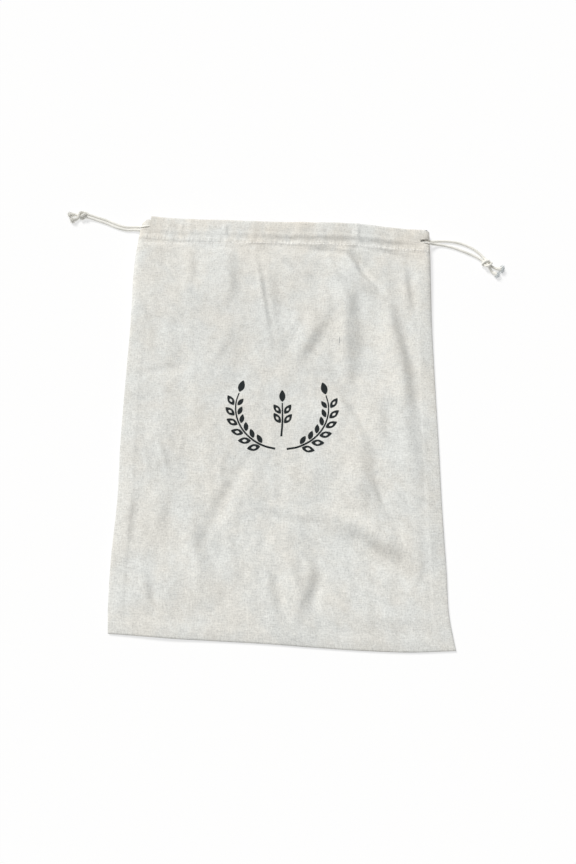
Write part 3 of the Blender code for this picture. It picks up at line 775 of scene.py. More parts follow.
def twisted_tube(name, line, look, radius=CORD / 2, run=0.0, swell=None):
    """A cord of twisted strands along a line of evenly spaced points."""
    steps = np.concatenate([[0], np.cumsum(np.linalg.norm(np.diff(line, axis=0), axis=1))])
    side, over = frames_along(line)
    angle = np.linspace(0, 2 * math.pi, CORD_SIDES, endpoint=False)
    turn = 2 * math.pi * (steps + run) / LAY_LENGTH
    lobe = np.abs(np.cos(STRANDS * (angle[None, :] - turn[:, None]) / 2))
    ring = radius * (1 - STRAND_DEPTH + STRAND_DEPTH * lobe ** 0.6)
    if swell is not None:
        ring = ring * swell[:, None]
    points = (line[:, None, :] + ring[..., None] * (np.cos(angle)[None, :, None] * side[:, None, :]
                                                    + np.sin(angle)[None, :, None] * over[:, None, :]))
    rings = len(line)
    points, faces = lofted(points)
    made = new_mesh(name, points, [face[::-1] for face in faces], [look])
    flat = np.column_stack([np.tile(angle * radius, rings), np.repeat(steps + run, CORD_SIDES)]) * MM
    lay_flat(made.data, flat)
    return fix_normals(made)


def fix_normals(made):
    bm = bmesh.new()
    bm.from_mesh(made.data)
    bmesh.ops.recalc_face_normals(bm, faces=bm.faces)
    bm.to_mesh(made.data)
    bm.free()
    return made


def split_at(line, place):
    return int(np.linalg.norm(line - np.array(place), axis=1).argmin())


def build_drawcord(side, look):
    """One drawcord: its stretch in the casing and its two free ends, cut where it leaves the slit."""
    run_node, front_node, back_node, lanes, stops, turn_x, way_in, way_out = DRAWCORDS[side]
    held = held_route(lanes, stops, turn_x, way_in, way_out)
    whole = [*reversed(FREE_CORDS[front_node]), *held, *FREE_CORDS[back_node]]
    line = smooth_path(whole, RING_STEP)
    first, last = split_at(line, held[0]), split_at(line, held[-1])
    held_piece = twisted_tube(f"drawcord_{side}_in_casing", line[first:last + 1], look, run=first * RING_STEP)
    fitted(held_piece, run_node)
    ends = {front_node: (line[:first + 1], 0.0), back_node: (line[last:], last * RING_STEP)}
    pieces = {}
    for node, (path, run) in ends.items():
        free = twisted_tube(node.replace("cord_", "drawcord_"), path, look, run=run)
        outward = path if node == back_node else path[::-1]
        pieces[node] = (fitted(free, node), outward)
    return pieces


# Knots: an overhand knot in the pair, drawn tight
LOOP_SIZE = 2.6
LOOP_RISE = 3.4
LOOP_OPEN = 0.55
PAIR_GAP = 1.3
TIGHTEN_STEPS = 420
TIGHTEN_SPACING = 0.9
TIGHTEN_PULL = 0.30
CORD_TOUCH = 2.35
TOUCH_PUSH = 0.35
NEIGHBOURS = 4
EVEN_EVERY, EVEN_STOP = 12, 30
HELD_POINTS = 7
TIP_RUN, TIP_SWELL, TIP_LIFT = 6.5, 0.85, 0.05


def loose_knot(start, tail, middle, way_in, offset):
    """One strand's first lie: in from its free cord, once round through the loop, and out to its cut end."""
    turn = np.linspace(math.pi + LOOP_OPEN, 3 * math.pi - LOOP_OPEN, 60)
    x = LOOP_SIZE * (np.sin(turn) + 2 * np.sin(2 * turn))
    y = LOOP_SIZE * (np.cos(turn) - 2 * np.cos(2 * turn))
    dx, dy = np.gradient(x), np.gradient(y)
    size = np.hypot(dx, dy)
    x, y = x - offset * dy / size, y + offset * dx / size
    z = CORD + LOOP_RISE - LOOP_RISE * np.sin(3 * turn) * 0.8
    angle = math.radians(way_in)
    across = middle[0] + math.cos(angle) * x - math.sin(angle) * y
    up = middle[1] + math.sin(angle) * x + math.cos(angle) * y
    loop = np.column_stack([across, up, z])
    return np.concatenate([[start], loop, tail])


def tighten(strands, held):
    """Draws the strands tight: each shortens, and keeps a cord's width from what it touches."""
    lines = [evenly(strand, TIGHTEN_SPACING) for strand in strands]
    for step in range(TIGHTEN_STEPS):
        for line in lines:
            around = line[:-held - 1] + line[2:len(line) - held + 1]
            line[1:-held] += TIGHTEN_PULL * (around - 2 * line[1:-held])
        points = np.concatenate(lines)
        owner = np.repeat(np.arange(len(lines)), [len(line) for line in lines])
        number = np.concatenate([np.arange(len(line)) for line in lines])
        away = points[:, None] - points[None]
        gap = np.linalg.norm(away, axis=-1)
        skip = (owner[:, None] == owner[None]) & (np.abs(number[:, None] - number[None]) < NEIGHBOURS)
        near = (gap < CORD_TOUCH) & ~skip & (gap > 0)
        push = np.where(near, (CORD_TOUCH - gap) / np.maximum(gap, 1e-6) * TOUCH_PUSH, 0.0)
        moved = (away * push[..., None]).sum(axis=1)
        size = np.linalg.norm(moved, axis=1)
        moved *= np.minimum(1, TOUCH_PUSH / np.maximum(size, 1e-6))[:, None]
        first = 0
        for i, line in enumerate(lines):
            part = moved[first:first + len(line)]
            first += len(line)
            line[1:-held] += part[1:-held]
            line[:, 2] = np.maximum(line[:, 2], CORD_LEVEL)
            if step % EVEN_EVERY == EVEN_EVERY - 1 and step < TIGHTEN_STEPS - EVEN_STOP:
                tail = line[-held:]
                lines[i] = np.concatenate([evenly(line[:-held + 1], TIGHTEN_SPACING)[:-1], tail])
    return lines


def build_knot(side, ends, look):
    """The knot of one pair and its two cut ends, each strand whole from the free cord to its frayed tip."""
    node, middle, way_in, cut_ends = KNOTS[side]
    strands = []
    for (path, offset), cut_end in zip(((ends[0], PAIR_GAP), (ends[1], -PAIR_GAP)), cut_ends):
        start = path[-1] + (path[-1] - path[-3]) * -0.4
        tail = np.array([(x, y, CORD_LEVEL) for x, y in cut_end[1:]])
        strands.append(loose_knot(start, evenly(tail, TIGHTEN_SPACING), middle, way_in, offset))
    lines = tighten(strands, HELD_POINTS)
    made, tips = [], []
    for number, line in enumerate(lines):
        line = smooth_path(line, RING_STEP)
        left = np.linalg.norm(np.diff(line, axis=0), axis=1)[::-1].cumsum()[::-1]
        left = np.append(left, 0.0)
        swell = 1 + TIP_SWELL * ease(1 - left / TIP_RUN)
        line[:, 2] = np.maximum(line[:, 2], CORD / 2 * swell + TIP_LIFT)
        made.append(twisted_tube(f"{node}_strand_{number + 1}", line, look, swell=swell))
        tips.append((line[-1], line[-1] - line[-4]))
    knot = join_pieces(f"{node}_tied", made)
    return fitted(knot, node), tips


def join_pieces(name, pieces):
    """Several meshes as one piece."""
    bm = bmesh.new()
    for piece in pieces:
        bm.from_mesh(piece.data)
    mesh = bpy.data.meshes.new(name)
    bm.to_mesh(mesh)
    bm.free()
    for look in pieces[0].data.materials:
        mesh.materials.append(look)
    for piece in pieces:
        old = piece.data
        bpy.data.objects.remove(piece, do_unlink=True)
        bpy.data.meshes.remove(old)
    return link(bpy.data.objects.new(name, mesh))


class Number:
    """A number inside a material, worked on with the ordinary signs."""

    def __init__(self, look, socket):
        self.look, self.socket = look, socket

    def worked(self, operation, *values):
        return self.look.number("ShaderNodeMath", {"operation": operation}, dict(enumerate(values)))

    def __add__(self, other):
        return self.worked("ADD", self, other)

    def __radd__(self, other):
        return self.worked("ADD", other, self)

    def __sub__(self, other):
        return self.worked("SUBTRACT", self, other)

    def __rsub__(self, other):
        return self.worked("SUBTRACT", other, self)

    def __mul__(self, other):
        return self.worked("MULTIPLY", self, other)

    def __rmul__(self, other):
        return self.worked("MULTIPLY", other, self)

    def __abs__(self):
        return self.worked("ABSOLUTE", self)

    def sine(self):
        return self.worked("SINE", self)

    def between(self, low, high):
        """0 below low, 1 above high and a soft step from one to the other."""
        inputs = {"Value": self, "From Min": low, "From Max": high}
        return self.look.number("ShaderNodeMapRange", {"interpolation_type": "SMOOTHSTEP"}, inputs)


class Wired:
    """A node tree whose nodes are made and fed as they are asked for."""

    def node(self, kind, settings=None, inputs=None):
        made = self.tree.nodes.new(kind)
        for setting, value in (settings or {}).items():
            setattr(made, setting, value)
        for key, value in (inputs or {}).items():
            self.feed(made.inputs[key], value)
        return made

    def feed(self, socket, value):
        if isinstance(value, Number):
            value = value.socket
        if isinstance(value, bpy.types.NodeSocket):
            self.tree.links.new(value, socket)
        else:
            socket.default_value = value


class Look(Wired):
    """A material of one shader, with its nodes made as they are asked for."""

    def __init__(self, name):
        self.material = bpy.data.materials.new(name)
        self.material.use_nodes = True
        self.tree = self.material.node_tree
        self.surface = self.tree.nodes["Principled BSDF"]

    def number(self, kind, settings=None, inputs=None, output=0):
        return Number(self, self.node(kind, settings, inputs).outputs[output])

    def mixed(self, share, first, second, blend="MIX"):
        """Two colours mixed by a number."""
        settings = {"data_type": "RGBA", "blend_type": blend}
        return self.node("ShaderNodeMix", settings, {0: share, 6: first, 7: second}).outputs[2]

    def scaled(self, vector, by):
        inputs = {0: vector, 1: by}
        return self.node("ShaderNodeVectorMath", {"operation": "MULTIPLY"}, inputs).outputs[0]

    def noise(self, vector, scale=1.0, detail=2.0, rough=0.5):
        inputs = {"Vector": vector, "Scale": scale, "Detail": detail, "Roughness": rough}
        return self.number("ShaderNodeTexNoise", {"noise_dimensions": "3D"}, inputs)

    def flat(self):
        """The piece's own flat measure, in millimetres."""
        uv = self.node("ShaderNodeUVMap", {"uv_map": "flat"}).outputs[0]
        return self.scaled(uv, (1 / MM, 1 / MM, 1 / MM))

    def split(self, vector):
        made = self.node("ShaderNodeSeparateXYZ", inputs={0: vector})
        return Number(self, made.outputs[0]), Number(self, made.outputs[1]), Number(self, made.outputs[2])

    def bumped(self, height, distance, strength=1.0):
        inputs = {"Height": height, "Distance": distance * MM, "Strength": strength}
        self.feed(self.surface.inputs["Normal"], self.node("ShaderNodeBump", inputs=inputs).outputs[0])

    def finish(self, **values):
        for key, value in values.items():
            self.feed(self.surface.inputs[key.replace("_", " ")], value)
        return self.material


WEAVE = 0.72


def weave_height(look, flat):
    """Plain weave, over one thread and under the next, of threads that vary in thickness."""
    across, along, _ = look.split(flat)
    drift = look.noise(look.scaled(flat, (0.10, 0.10, 1.0)), detail=1.0) * 1.2
    warp = ((across + drift) * (math.pi / WEAVE)).sine()
    weft = ((along + drift) * (math.pi / WEAVE)).sine()
    warp_over = (warp * weft).between(-0.12, 0.12)
    warp, weft = abs(warp), abs(weft)
    return warp_over * (warp * (weft * 0.4 + 0.6)) + (1.0 - warp_over) * (weft * (warp * 0.4 + 0.6))


# Where the painted shade, with a little dirt, along the seamed edges is full and where it is gone, in millimetres
# in from the edge
EDGE_SHADE_AND_DIRT = (0.3, 2.4)


def edge_shade(look, flat):
    """1 on the cloth's seamed edges, and 0 a little in from them: the mask of a painted shade, with a little dirt,
    along the seams.
    """
    across, along, _ = look.split(flat)
    front = BAG_WIDTH / 2 - abs(across)
    back = BAG_WIDTH / 2 - abs(across - BACK_SHIFT)
    side = front.worked("MAXIMUM", front, back)
    nearest = side.worked("MINIMUM", side, along)
    return 1.0 - nearest.between(EDGE_SHADE_AND_DIRT[0], EDGE_SHADE_AND_DIRT[1])


CLOTH_COOL = (0.720, 0.730, 0.705, 1)
CLOTH_WARM = (0.745, 0.715, 0.650, 1)
# Colour of the painted shade, with a little dirt, along the seamed edges
EDGE_SHADE_AND_DIRT_COLOUR = (0.46, 0.44, 0.39, 1)
CORD_DARK = (0.66, 0.655, 0.60, 1)
CORD_LIGHT = (0.90, 0.885, 0.83, 1)


def cloth_look():
    look = Look("undyed_cloth")
    flat = look.flat()
    weave = weave_height(look, flat)
    warp = look.noise(look.scaled(flat, (1.25, 0.16, 1.0)), detail=3.0, rough=0.7)
    weft = look.noise(look.scaled(flat, (0.13, 1.15, 1.0)), detail=3.0, rough=0.7)
    coarse = look.noise(look.scaled(flat, (0.16, 0.15, 1.0)), detail=3.0, rough=0.6)
    patches = look.noise(look.scaled(flat, (0.030, 0.026, 1.0)), detail=2.0)
    warm = look.noise(look.scaled(flat, (0.021, 0.019, 1.0)), detail=4.0, rough=0.65)
    _, along, _ = look.split(flat)
    fuzz = look.noise(flat, scale=0.62, detail=2.0, rough=0.8)
    fleck = look.noise(flat, scale=0.40, detail=2.0, rough=0.75).between(0.73, 0.76)
    shade = ((warp - 0.5) * 0.52 + (weft - 0.5) * 0.52 + (fuzz - 0.5) * 0.66 + (coarse - 0.5) * 0.28
             + (patches - 0.5) * 0.18)
    warmth = warm.between(0.34, 0.66) * 0.60 + along.between(350.0, 385.0) * warm.between(0.30, 0.60) * 0.45
    base = look.mixed(warmth, CLOTH_COOL, CLOTH_WARM)
    # Painted light: the cloth is made 3% lighter from 220 mm up towards the mouth, against the shade that the
    # panel's rise there takes
    level = shade + 1.0 + along.between(220.0, 350.0) * 0.03
    level = look.node("ShaderNodeCombineColor", inputs={0: level, 1: level, 2: level}).outputs[0]
    colour = look.mixed(1.0, base, level, "MULTIPLY")
    # Painted shade, with a little dirt, darkens the cloth along its seamed edges
    colour = look.mixed(edge_shade(look, flat) * 0.05, colour, EDGE_SHADE_AND_DIRT_COLOUR)
    colour = look.mixed(fleck * 0.5, colour, (0.34, 0.31, 0.25, 1))
    pleats = look.noise(look.scaled(flat, (0.42, 0.035, 1.0)), detail=1.0)
    by_stitches = along.between(374.0, 377.0) * (1.0 - along.between(378.0, 383.0))
    height = weave * 0.45 + warp * 0.7 + weft * 0.7 + fuzz * 0.6 + pleats * by_stitches * 6.0
    look.bumped(height, 0.24, 0.8)
    return look.finish(Base_Color=colour, Roughness=0.93, Specular_IOR_Level=0.2)


def cord_look():
    look = Look("cotton_cord")
    flat = look.flat()
    fibre = look.noise(look.scaled(flat, (2.6, 1.1, 1.0)), detail=3.0, rough=0.7)
    patch = look.noise(look.scaled(flat, (0.2, 0.09, 1.0)), detail=1.0)
    colour = look.mixed((fibre * 0.5 + patch * 0.5).between(0.25, 0.6), CORD_DARK, CORD_LIGHT)
    look.bumped(fibre, 0.18, 0.7)
    return look.finish(Base_Color=colour, Roughness=0.95, Specular_IOR_Level=0.15)


# Loose fibres and threads, with their darkest and lightest colour
FIBRES = {
    "plain": ("cotton_fibre", (0.78, 0.77, 0.72, 1), (0.95, 0.94, 0.90, 1)),
    "grey": ("grey_fibre", (0.72, 0.76, 0.77, 1), (0.93, 0.95, 0.95, 1)),
    "sewing": ("sewing_thread", (0.86, 0.84, 0.80, 1), (0.97, 0.96, 0.93, 1)),
    "dark": ("dark_thread", (0.03, 0.04, 0.07, 1), (0.10, 0.12, 0.18, 1)),
}


def fibre_look(name, dark, light):
    """Loose cotton fibres, with no measure of their own along them."""
    look = Look(name)
    place = look.scaled(look.node("ShaderNodeTexCoord").outputs["Object"], (1 / MM, 1 / MM, 1 / MM))
    spread = look.noise(place, scale=0.8, detail=3.0, rough=0.7)
    colour = look.mixed(spread.between(0.3, 0.7), dark, light)
    look.bumped(look.noise(place, scale=3.0, detail=2.0), 0.1, 0.5)
    return look.finish(Base_Color=colour, Roughness=0.97, Specular_IOR_Level=0.1)


def ink_look():
    """Printed ink, a little broken where the threads rise through it."""
    look = Look("dark_ink")
    place = look.scaled(look.node("ShaderNodeTexCoord").outputs["Object"], (1 / MM, 1 / MM, 0.0))
    across, along, _ = look.split(place)
    weave = (across * (math.pi / WEAVE)).sine() * (along * (math.pi / WEAVE)).sine()
    wear = look.noise(place, scale=0.9, detail=4.0, rough=0.75)
    bare = (wear + weave * 0.03).between(0.70, 0.76)
    ink = look.mixed(wear.between(0.3, 0.7), (0.0105, 0.0155, 0.0165, 1), (0.020, 0.025, 0.026, 1))
    colour = look.mixed(bare * 0.6, ink, (0.30, 0.30, 0.28, 1))
    look.bumped(weave * 0.5 + wear, 0.12, 0.5)
    return look.finish(Base_Color=colour, Roughness=0.86, Specular_IOR_Level=0.25)


FLOOR_GLOW, FLOOR_TONE = 0.60, 0.38


def floor_look():
    """A white light table, whose glow keeps the shadows on it soft."""
    look = Look("light_table")
    tone, glow = (FLOOR_TONE,) * 3 + (1,), (1.0, 1.0, 1.0, 1)
    return look.finish(Base_Color=tone, Roughness=1.0, Specular_IOR_Level=0.0, Emission_Color=glow,
                       Emission_Strength=FLOOR_GLOW)


FLOOR_SIZE = 6.0
TABLE_CLEAR = 0.0001
SKY = 0.42
KEY_STRENGTH = 2.66
KEY_ANGLE = 18.0
KEY_FROM = (-0.50, 0.56, 0.80)


def aimed(made, place, target):
    made.location = place
    made.rotation_euler = (Vector(target) - Vector(place)).to_track_quat("-Z", "Y").to_euler()
    return link(made)


def set_stage():
    """Camera, table and light."""
    scene = bpy.context.scene
    azimuth, elevation = math.radians(CAMERA_AZIMUTH), math.radians(CAMERA_ELEVATION)
    way = Vector((math.sin(azimuth) * math.cos(elevation), -math.cos(azimuth) * math.cos(elevation),
                  math.sin(elevation)))
    lens = bpy.data.cameras.new("camera")
    lens.lens, lens.sensor_width, lens.sensor_fit = CAMERA_LENS, 36.0, "AUTO"
    camera = bpy.data.objects.new("camera", lens)
    scene.camera = aimed(camera, Vector(CAMERA_TARGET) + way * CAMERA_DISTANCE, CAMERA_TARGET)
    scene.view_settings.view_transform = "Standard"
    world = bpy.data.worlds.new("daylight")
    world.use_nodes = True
    sky = world.node_tree.nodes["Background"]
    sky.inputs["Color"].default_value = (0.985, 0.99, 1.0, 1)
    sky.inputs["Strength"].default_value = SKY
    scene.world = world
    key = bpy.data.lights.new("window", "SUN")
    key.energy, key.angle, key.color = KEY_STRENGTH, math.radians(KEY_ANGLE), (1.0, 0.99, 0.975)
    aimed(bpy.data.objects.new("window", key), KEY_FROM, (0, 0, 0))
    half = FLOOR_SIZE / 2
    mesh = bpy.data.meshes.new("table")
    corners = [(-half, -half), (half, -half), (half, half), (-half, half)]
    mesh.from_pydata([(x, y, -TABLE_CLEAR) for x, y in corners], [], [(0, 1, 2, 3)])
    mesh.materials.append(floor_look())
    table = link(bpy.data.objects.new("table", mesh))


class Surface:
    """The finished cloth, to lay things on."""

    def __init__(self, panels):
        places, faces = [], []
        for panel in panels:
            first = len(places)
            faces += [[first + number for number in face.vertices] for face in panel.data.polygons]
            places += [vert.co.copy() for vert in panel.data.vertices]
        self.tree = BVHTree.FromPolygons(places, faces)

    def height(self, x, y, from_below=False):
        start = Vector(((x - MIDDLE[0]) * MM, (y - MIDDLE[1]) * MM, -0.01 if from_below else 0.05))
        place = self.tree.ray_cast(start, Vector((0, 0, 1 if from_below else -1)))[0]
        return place.z / MM if place else 0.0

    def laid(self, flat, off):
        """Places on the cloth under a line of plan points, this far off it."""
        return np.array([(x, y, self.height(x, y) + off) for x, y in flat])


class Growth(Wired):
    """A Geometry Nodes tree, wired by name, and what it makes from a base mesh."""

    def __init__(self, name, inputs):
        self.tree = bpy.data.node_groups.new(name, "GeometryNodeTree")
        self.names = {}
        for label, kind in (("Base", "NodeSocketGeometry"), *inputs):
            made = self.tree.interface.new_socket(label, in_out="INPUT", socket_type=kind)
            self.names[label] = made.identifier
        self.tree.interface.new_socket("Made", in_out="OUTPUT", socket_type="NodeSocketGeometry")
        self.start = self.tree.nodes.new("NodeGroupInput")

    def given(self, label):
        return self.start.outputs[label]

    def varied(self, low, high, seed):
        settings = {"data_type": "FLOAT_VECTOR"}
        return self.node("FunctionNodeRandomValue", settings, {0: low, 1: high, "Seed": seed}).outputs[0]

    def finish(self, instances, look):
        real = self.node("GeometryNodeRealizeInstances", inputs={0: instances})
        dressed = self.node("GeometryNodeSetMaterial", inputs={"Geometry": real.outputs[0], "Material": look})
        end = self.tree.nodes.new("NodeGroupOutput")
        self.tree.links.new(dressed.outputs[0], end.inputs[0])

    def grow(self, base, values):
        """The base mesh's object, holding what the tree makes of it."""
        modifier = base.modifiers.new("growth", "NODES")
        modifier.node_group = self.tree
        for label, value in values.items():
            modifier[self.names[label]] = value
        apply_modifiers(base)
        return base


def lofted(sections):
    """Points and faces of a closed form through rings of the same number of points."""
    sections = np.asarray(sections, dtype=float)
    rings, sides = sections.shape[:2]
    closed = np.concatenate([np.arange(sides), [0]])
    numbers = np.arange(rings)[:, None] * sides + closed[None, :]
    faces = np.stack([numbers[:-1, :-1], numbers[:-1, 1:], numbers[1:, 1:], numbers[1:, :-1]], axis=-1)
    faces = faces.reshape(-1, 4).tolist()
    first_cap, last_cap = list(range(sides))[::-1], list(range((rings - 1) * sides, rings * sides))
    return sections.reshape(-1, 3), [*faces, first_cap, last_cap]


def bare_mesh(name, points, faces):
    """A mesh about its own origin, in millimetres, that is placed many times."""
    mesh = bpy.data.meshes.new(name)
    mesh.from_pydata((np.asarray(points) * MM).tolist(), [], faces)
    mesh.shade_smooth()
    return link(bpy.data.objects.new(name, mesh))


# Stitches
STITCH_LENGTH, STITCH_PITCH = 2.3, 3.4
STITCH_THICK = 0.86
STITCH_LIFT = -0.08
STITCH_DIP = 0.3
STITCH_ROW = (376.0, 0.012, 240)


def stitch_tree():
    growth = Growth("stitches_along", (("Stitch", "NodeSocketObject"), ("Pitch", "NodeSocketFloat"),
                                       ("Seed", "NodeSocketInt"), ("Look", "NodeSocketMaterial")))
    curve = growth.node("GeometryNodeMeshToCurve", inputs={0: growth.given("Base")})
    places = growth.node("GeometryNodeResampleCurve", {"mode": "LENGTH"},
                         {"Curve": curve.outputs[0], "Length": growth.given("Pitch")})
    tangent = growth.node("GeometryNodeInputTangent")
    turned = growth.node("FunctionNodeAlignRotationToVector", {"axis": "X"}, {"Vector": tangent.outputs[0]})
    yaw = growth.varied((-0.02, -0.04, -0.07), (0.02, 0.04, 0.07), growth.given("Seed"))
    turned = growth.node("FunctionNodeRotateRotation", {"rotation_space": "LOCAL"},
                         {"Rotation": turned.outputs[0], "Rotate By": yaw})
    size = growth.varied((0.88, 0.9, 0.9), (1.08, 1.1, 1.1), growth.given("Seed"))
    stitch = growth.node("GeometryNodeObjectInfo", inputs={"Object": growth.given("Stitch")})
    laid = growth.node("GeometryNodeInstanceOnPoints", inputs={
        "Points": places.outputs[0], "Instance": stitch.outputs["Geometry"],
        "Rotation": turned.outputs[0], "Scale": size})
    growth.finish(laid.outputs[0], growth.given("Look"))
    return growth


def stitch_form(dip):
    """One stitch: a short twisted thread whose ends dip into the cloth."""
    sections = []
    for share in np.linspace(-1, 1, 9):
        x = share * STITCH_LENGTH / 2
        sag = dip * abs(share) ** 4
        radius = STITCH_THICK / 2 * math.sqrt(1 - 0.75 * abs(share) ** 5)
        angle = np.linspace(0, 2 * math.pi, 8, endpoint=False)
        ring = radius * (1 + 0.10 * np.cos(2 * angle + 3.0 * x))
        sections.append(np.column_stack([np.full(8, x), ring * np.cos(angle), ring * np.sin(angle) + sag]))
    points, faces = lofted(sections)
    return fix_normals(bare_mesh("one_stitch", points, faces))


def build_stitches(cloth, look):
    """The row that closes each casing, on the front and on the back."""
    growth = stitch_tree()
    row_y, end_gap, count = STITCH_ROW
    share = np.linspace(end_gap, 1 - end_gap, count)
    x = side_edge(1, row_y) * (1 - share) + side_edge(2, row_y) * share
    y = read(END_EDGES, 3, share)
    for name, below in (("casing_stitches_front", False), ("casing_stitches_back", True)):
        heights = [cloth.height(px, py, below) for px, py in zip(x, y)]
        off = STITCH_THICK / 2 if below else STITCH_LIFT
        places = (np.column_stack([x, y, np.array(heights) + off]) - (*MIDDLE, 0.0)) * MM
        mesh = bpy.data.meshes.new(name)
        mesh.from_pydata(places.tolist(), [(i, i + 1) for i in range(len(places) - 1)], [])
        row = link(bpy.data.objects.new(name, mesh))
        form = stitch_form(STITCH_DIP if below else -STITCH_DIP)
        growth.grow(row, {"Stitch": form, "Pitch": STITCH_PITCH * MM, "Seed": 7, "Look": look})
        bpy.data.objects.remove(form, do_unlink=True)
        fitted(row)


# Frayed cut ends
FIBRE_LENGTH, FIBRE_THICK = 2.2, 0.13
FRAY_DENSITY = 9.0
FRAY_CAP = 2.2


def fray_tree():
    growth = Growth("fibres_over", (("Fibre", "NodeSocketObject"), ("Density", "NodeSocketFloat"),
                                    ("Seed", "NodeSocketInt"), ("Look", "NodeSocketMaterial")))
    places = growth.node("GeometryNodeDistributePointsOnFaces", inputs={
        "Mesh": growth.given("Base"), "Density": growth.given("Density"), "Seed": growth.given("Seed")})
    lean = growth.varied((-0.75, -0.75, -3.1), (0.75, 0.75, 3.1), growth.given("Seed"))
    turned = growth.node("FunctionNodeRotateRotation", {"rotation_space": "LOCAL"},
                         {"Rotation": places.outputs["Rotation"], "Rotate By": lean})
    size = growth.varied((0.8, 0.8, 0.35), (1.2, 1.2, 1.1), growth.given("Seed"))
    fibre = growth.node("GeometryNodeObjectInfo", inputs={"Object": growth.given("Fibre")})
    laid = growth.node("GeometryNodeInstanceOnPoints", inputs={
        "Points": places.outputs["Points"], "Instance": fibre.outputs["Geometry"],
        "Rotation": turned.outputs[0], "Scale": size})
    growth.finish(laid.outputs[0], growth.given("Look"))
    return growth


def fibre_form():
    sections = []
    for share in np.linspace(0, 1, 4):
        angle = np.linspace(0, 2 * math.pi, 3, endpoint=False)
        radius = FIBRE_THICK / 2 * (1 - 0.6 * share)
        bend = 0.5 * share * share
        sections.append(np.column_stack([radius * np.cos(angle) + bend, radius * np.sin(angle),
                                         np.full(3, share * FIBRE_LENGTH - 0.2)]))
    points, faces = lofted(sections)
    return fix_normals(bare_mesh("one_fibre", points, faces))


def tip_cap(tip, way, radius, flare):
    """A rounded, flared end form over a cut end, which the fibres stand on."""
    way = way / np.linalg.norm(way)
    side = np.cross(way, (0, 0, 1))
    side /= np.linalg.norm(side)
    over = np.cross(side, way)
    sections = []
    for share in np.linspace(0, 1, 9):
        along = (share * 2 - 1) * FRAY_CAP / 2 * 1.2
        bulge = radius * (1 + (flare - 1) * ease(share * 1.6)) * math.sqrt(max(1 - share ** 6, 0.02))
        angle = np.linspace(0, 2 * math.pi, 14, endpoint=False)
        ring = bulge * (1 + 0.09 * np.sin(3 * angle + 4 * share) + 0.05 * np.sin(5 * angle - 3 * share))
        middle = tip + way * along
        outward = np.cos(angle)[:, None] * side + np.sin(angle)[:, None] * over
        sections.append(middle + ring[:, None] * outward)
    sections = np.array(sections)
    sections[..., 2] = np.maximum(sections[..., 2], 0.12)
    return lofted(sections)


def above_table(mesh):
    """Fibres that would reach into the table lie on it."""
    for vert in mesh.vertices:
        vert.co.z = max(vert.co.z, 0.05 * MM)


TIP_FORMS = {
    "left": ((1.75, "plain"), (1.7, "plain")),
    "right": ((2.5, "grey"), (2.1, "grey")),
}


def build_frays(knot_tips, looks):
    """The cut ends' tips: each a flared core with loose fibres over it."""
    growth, form = fray_tree(), fibre_form()
    seed = 3
    for side, tips in knot_tips.items():
        for number, (tip, way) in enumerate(tips, 1):
            flare, look = TIP_FORMS[side][number - 1]
            points, faces = tip_cap(tip, way, CORD / 2, flare)
            core = fix_normals(new_mesh(f"cut_end_{side}_{number}", points, faces, [looks[look]]))
            fuzz = fix_normals(new_mesh(f"cut_end_{side}_{number}_fibres", points, faces, [looks[look]]))
            density = FRAY_DENSITY / (MM * MM)
            growth.grow(fuzz, {"Fibre": form, "Density": density, "Seed": seed, "Look": looks[look]})
            above_table(fuzz.data)
            seed += 4
            fitted(core)
            fitted(fuzz)
    bpy.data.objects.remove(form, do_unlink=True)


# The print: an open wreath of two wheat sprigs round a small upright one
INK_OFF = 0.07
WREATH_MIDDLE = (-3.0, 213.0)
WREATH_SIZE = (43.0, 39.0)
WREATH_ENDS = (-97.0, -200.0)
GRAIN = (12.6, 6.4, 1.85)
STEM_WIDTH = 1.9


def band(first, second, columns=2):
    """A strip of printed ink between two edges."""
    share = np.linspace(0, 1, columns + 1)[None, :, None]
    return first[:, None, :] * (1 - share) + second[:, None, :] * share


def stroke(path, widths):
    """A printed line along a path, with its width at the start, the middle and the end."""
    path = smooth_path(path, 0.9)
    along = np.gradient(path, axis=0)
    along /= np.linalg.norm(along, axis=1)[:, None]
    off = np.column_stack([-along[:, 1], along[:, 0]])
    share = np.linspace(0, 1, len(path))
    half = np.interp(share, (0, 0.5, 1), widths)[:, None] / 2
    return [band(path + off * half, path - off * half)]


def grain(base, angle, size=1.0, hollow=True):
    """A grain of wheat, drawn as a filled leaf or as an outline with its line of bran."""
    length, width, rim = GRAIN[0] * size, GRAIN[1] * size, GRAIN[2]
    turn = math.radians(angle)
    along, off = np.array((math.cos(turn), math.sin(turn))), np.array((-math.sin(turn), math.cos(turn)))
    share = np.linspace(0, 1, 15)
    half = width / 2 * np.sin(math.pi * share) ** 0.75 * (1.12 - 0.24 * share)

    def edge(run, out):
        return np.array(base) + run[:, None] * along + out[:, None] * off

    if not hollow:
        return [band(edge(share * length, half), edge(share * length, -half), 4)]
    inner = np.clip(half - rim, 0, None)
    inside = rim * 1.4 + share * (length - 2.8 * rim)
    return [band(edge(share * length, sign * half), edge(inside, sign * inner)) for sign in (1, -1)]


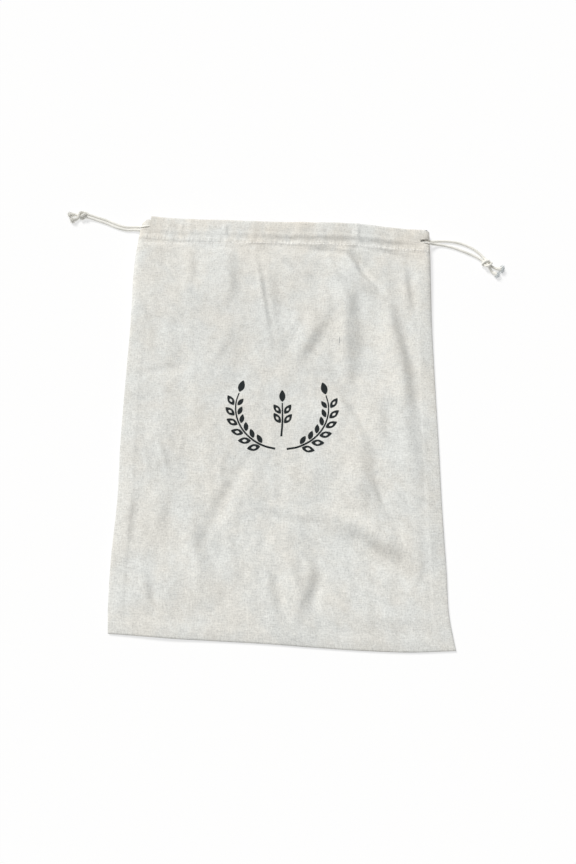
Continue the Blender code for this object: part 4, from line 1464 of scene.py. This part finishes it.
def sprig(path, grains, size, first_share, inner=0):
    """A stalk with grains on both sides and one at its tip, smaller on the inner side of its curve."""
    line = smooth_path(path, 0.5)
    shapes = stroke(path, (STEM_WIDTH, STEM_WIDTH * 0.85, STEM_WIDTH * 0.6))
    for number in range(grains):
        share = first_share + (0.97 - first_share) * number / grains
        i = int(share * (len(line) - 2))
        way = line[i + 1] - line[i]
        angle = math.degrees(math.atan2(way[1], way[0]))
        normal = np.array((-way[1], way[0])) / np.linalg.norm(way)
        for sign in (1, -1):
            root = line[i] + sign * normal * (STEM_WIDTH / 2 + 0.75)
            fit = (0.74 if sign == inner else 1.0) * (1 - 0.12 * share)
            shapes += grain(root, angle + sign * 36, size * fit, hollow=sign != inner)
    way = line[-1] - line[-3]
    angle = math.degrees(math.atan2(way[1], way[0]))
    tip = line[-1] + way / np.linalg.norm(way) * 1.0
    return shapes + grain(tip, angle, size * 0.95, hollow=False)


def wreath_side(sign):
    """One curved sprig of the wreath, to the left for 1 and mirrored for -1."""
    turns = np.radians(np.linspace(*WREATH_ENDS, 9))
    x = WREATH_MIDDLE[0] + sign * WREATH_SIZE[0] * np.cos(turns)
    y = WREATH_MIDDLE[1] + WREATH_SIZE[1] * np.sin(turns)
    return list(zip(x, y))


def build_print(cloth, look):
    x, y = WREATH_MIDDLE
    shapes = sprig(wreath_side(1), 6, 1.0, 0.19, inner=-1) + sprig(wreath_side(-1), 6, 1.0, 0.19, inner=1)
    shapes += sprig([(x, y - 27), (x + 0.6, y - 14), (x, y + 5)], 2, 0.95, 0.40)
    points, faces, count = [], [], 0
    for shape in shapes:
        rows, columns = shape.shape[:2]
        flat = shape.reshape(-1, 2)
        points.append(cloth.laid(flat, INK_OFF))
        faces += grid_faces(rows, columns, count)
        count += len(flat)
    film = new_mesh("printed_wheat", np.concatenate(points), faces, [look])
    face_up(film)
    fitted(film)


def face_up(made):
    bm = bmesh.new()
    bm.from_mesh(made.data)
    bmesh.ops.reverse_faces(bm, faces=[face for face in bm.faces if face.normal.z < 0])
    bm.to_mesh(made.data)
    bm.free()


# Stray threads: on the front below the casing, and at the right corner of the mouth
STRAYS = (
    ("stray_fibre_front", ((49.4, 282.4), (49.0, 280.6), (49.2, 278.6), (48.8, 276.4)), 0.30),
    ("stray_thread_corner", ((132.2, 395.2), (133.0, 395.6), (133.9, 395.4)), 0.42),
)


def build_strays(cloth, look):
    for name, places, thick in STRAYS:
        flat = smooth_path(places, 0.4)
        line = cloth.laid(flat, thick / 2)
        fitted(twisted_tube(name, line, look, radius=thick / 2))


def main():
    set_stage()
    cotton = cord_look()
    fibres = {kind: fibre_look(*colours) for kind, colours in FIBRES.items()}
    ends = {side: build_drawcord(side, cotton) for side in DRAWCORDS}
    panels = build_cloth(cloth_look())
    cloth = Surface(panels)
    build_stitches(cloth, fibres["sewing"])
    build_print(cloth, ink_look())
    build_strays(cloth, fibres["dark"])
    knot_tips = {}
    for side, pair in ends.items():
        (front, front_path), (back, back_path) = pair.values()
        knot, knot_tips[side] = build_knot(side, (front_path, back_path), cotton)
    build_frays(knot_tips, fibres)


main()
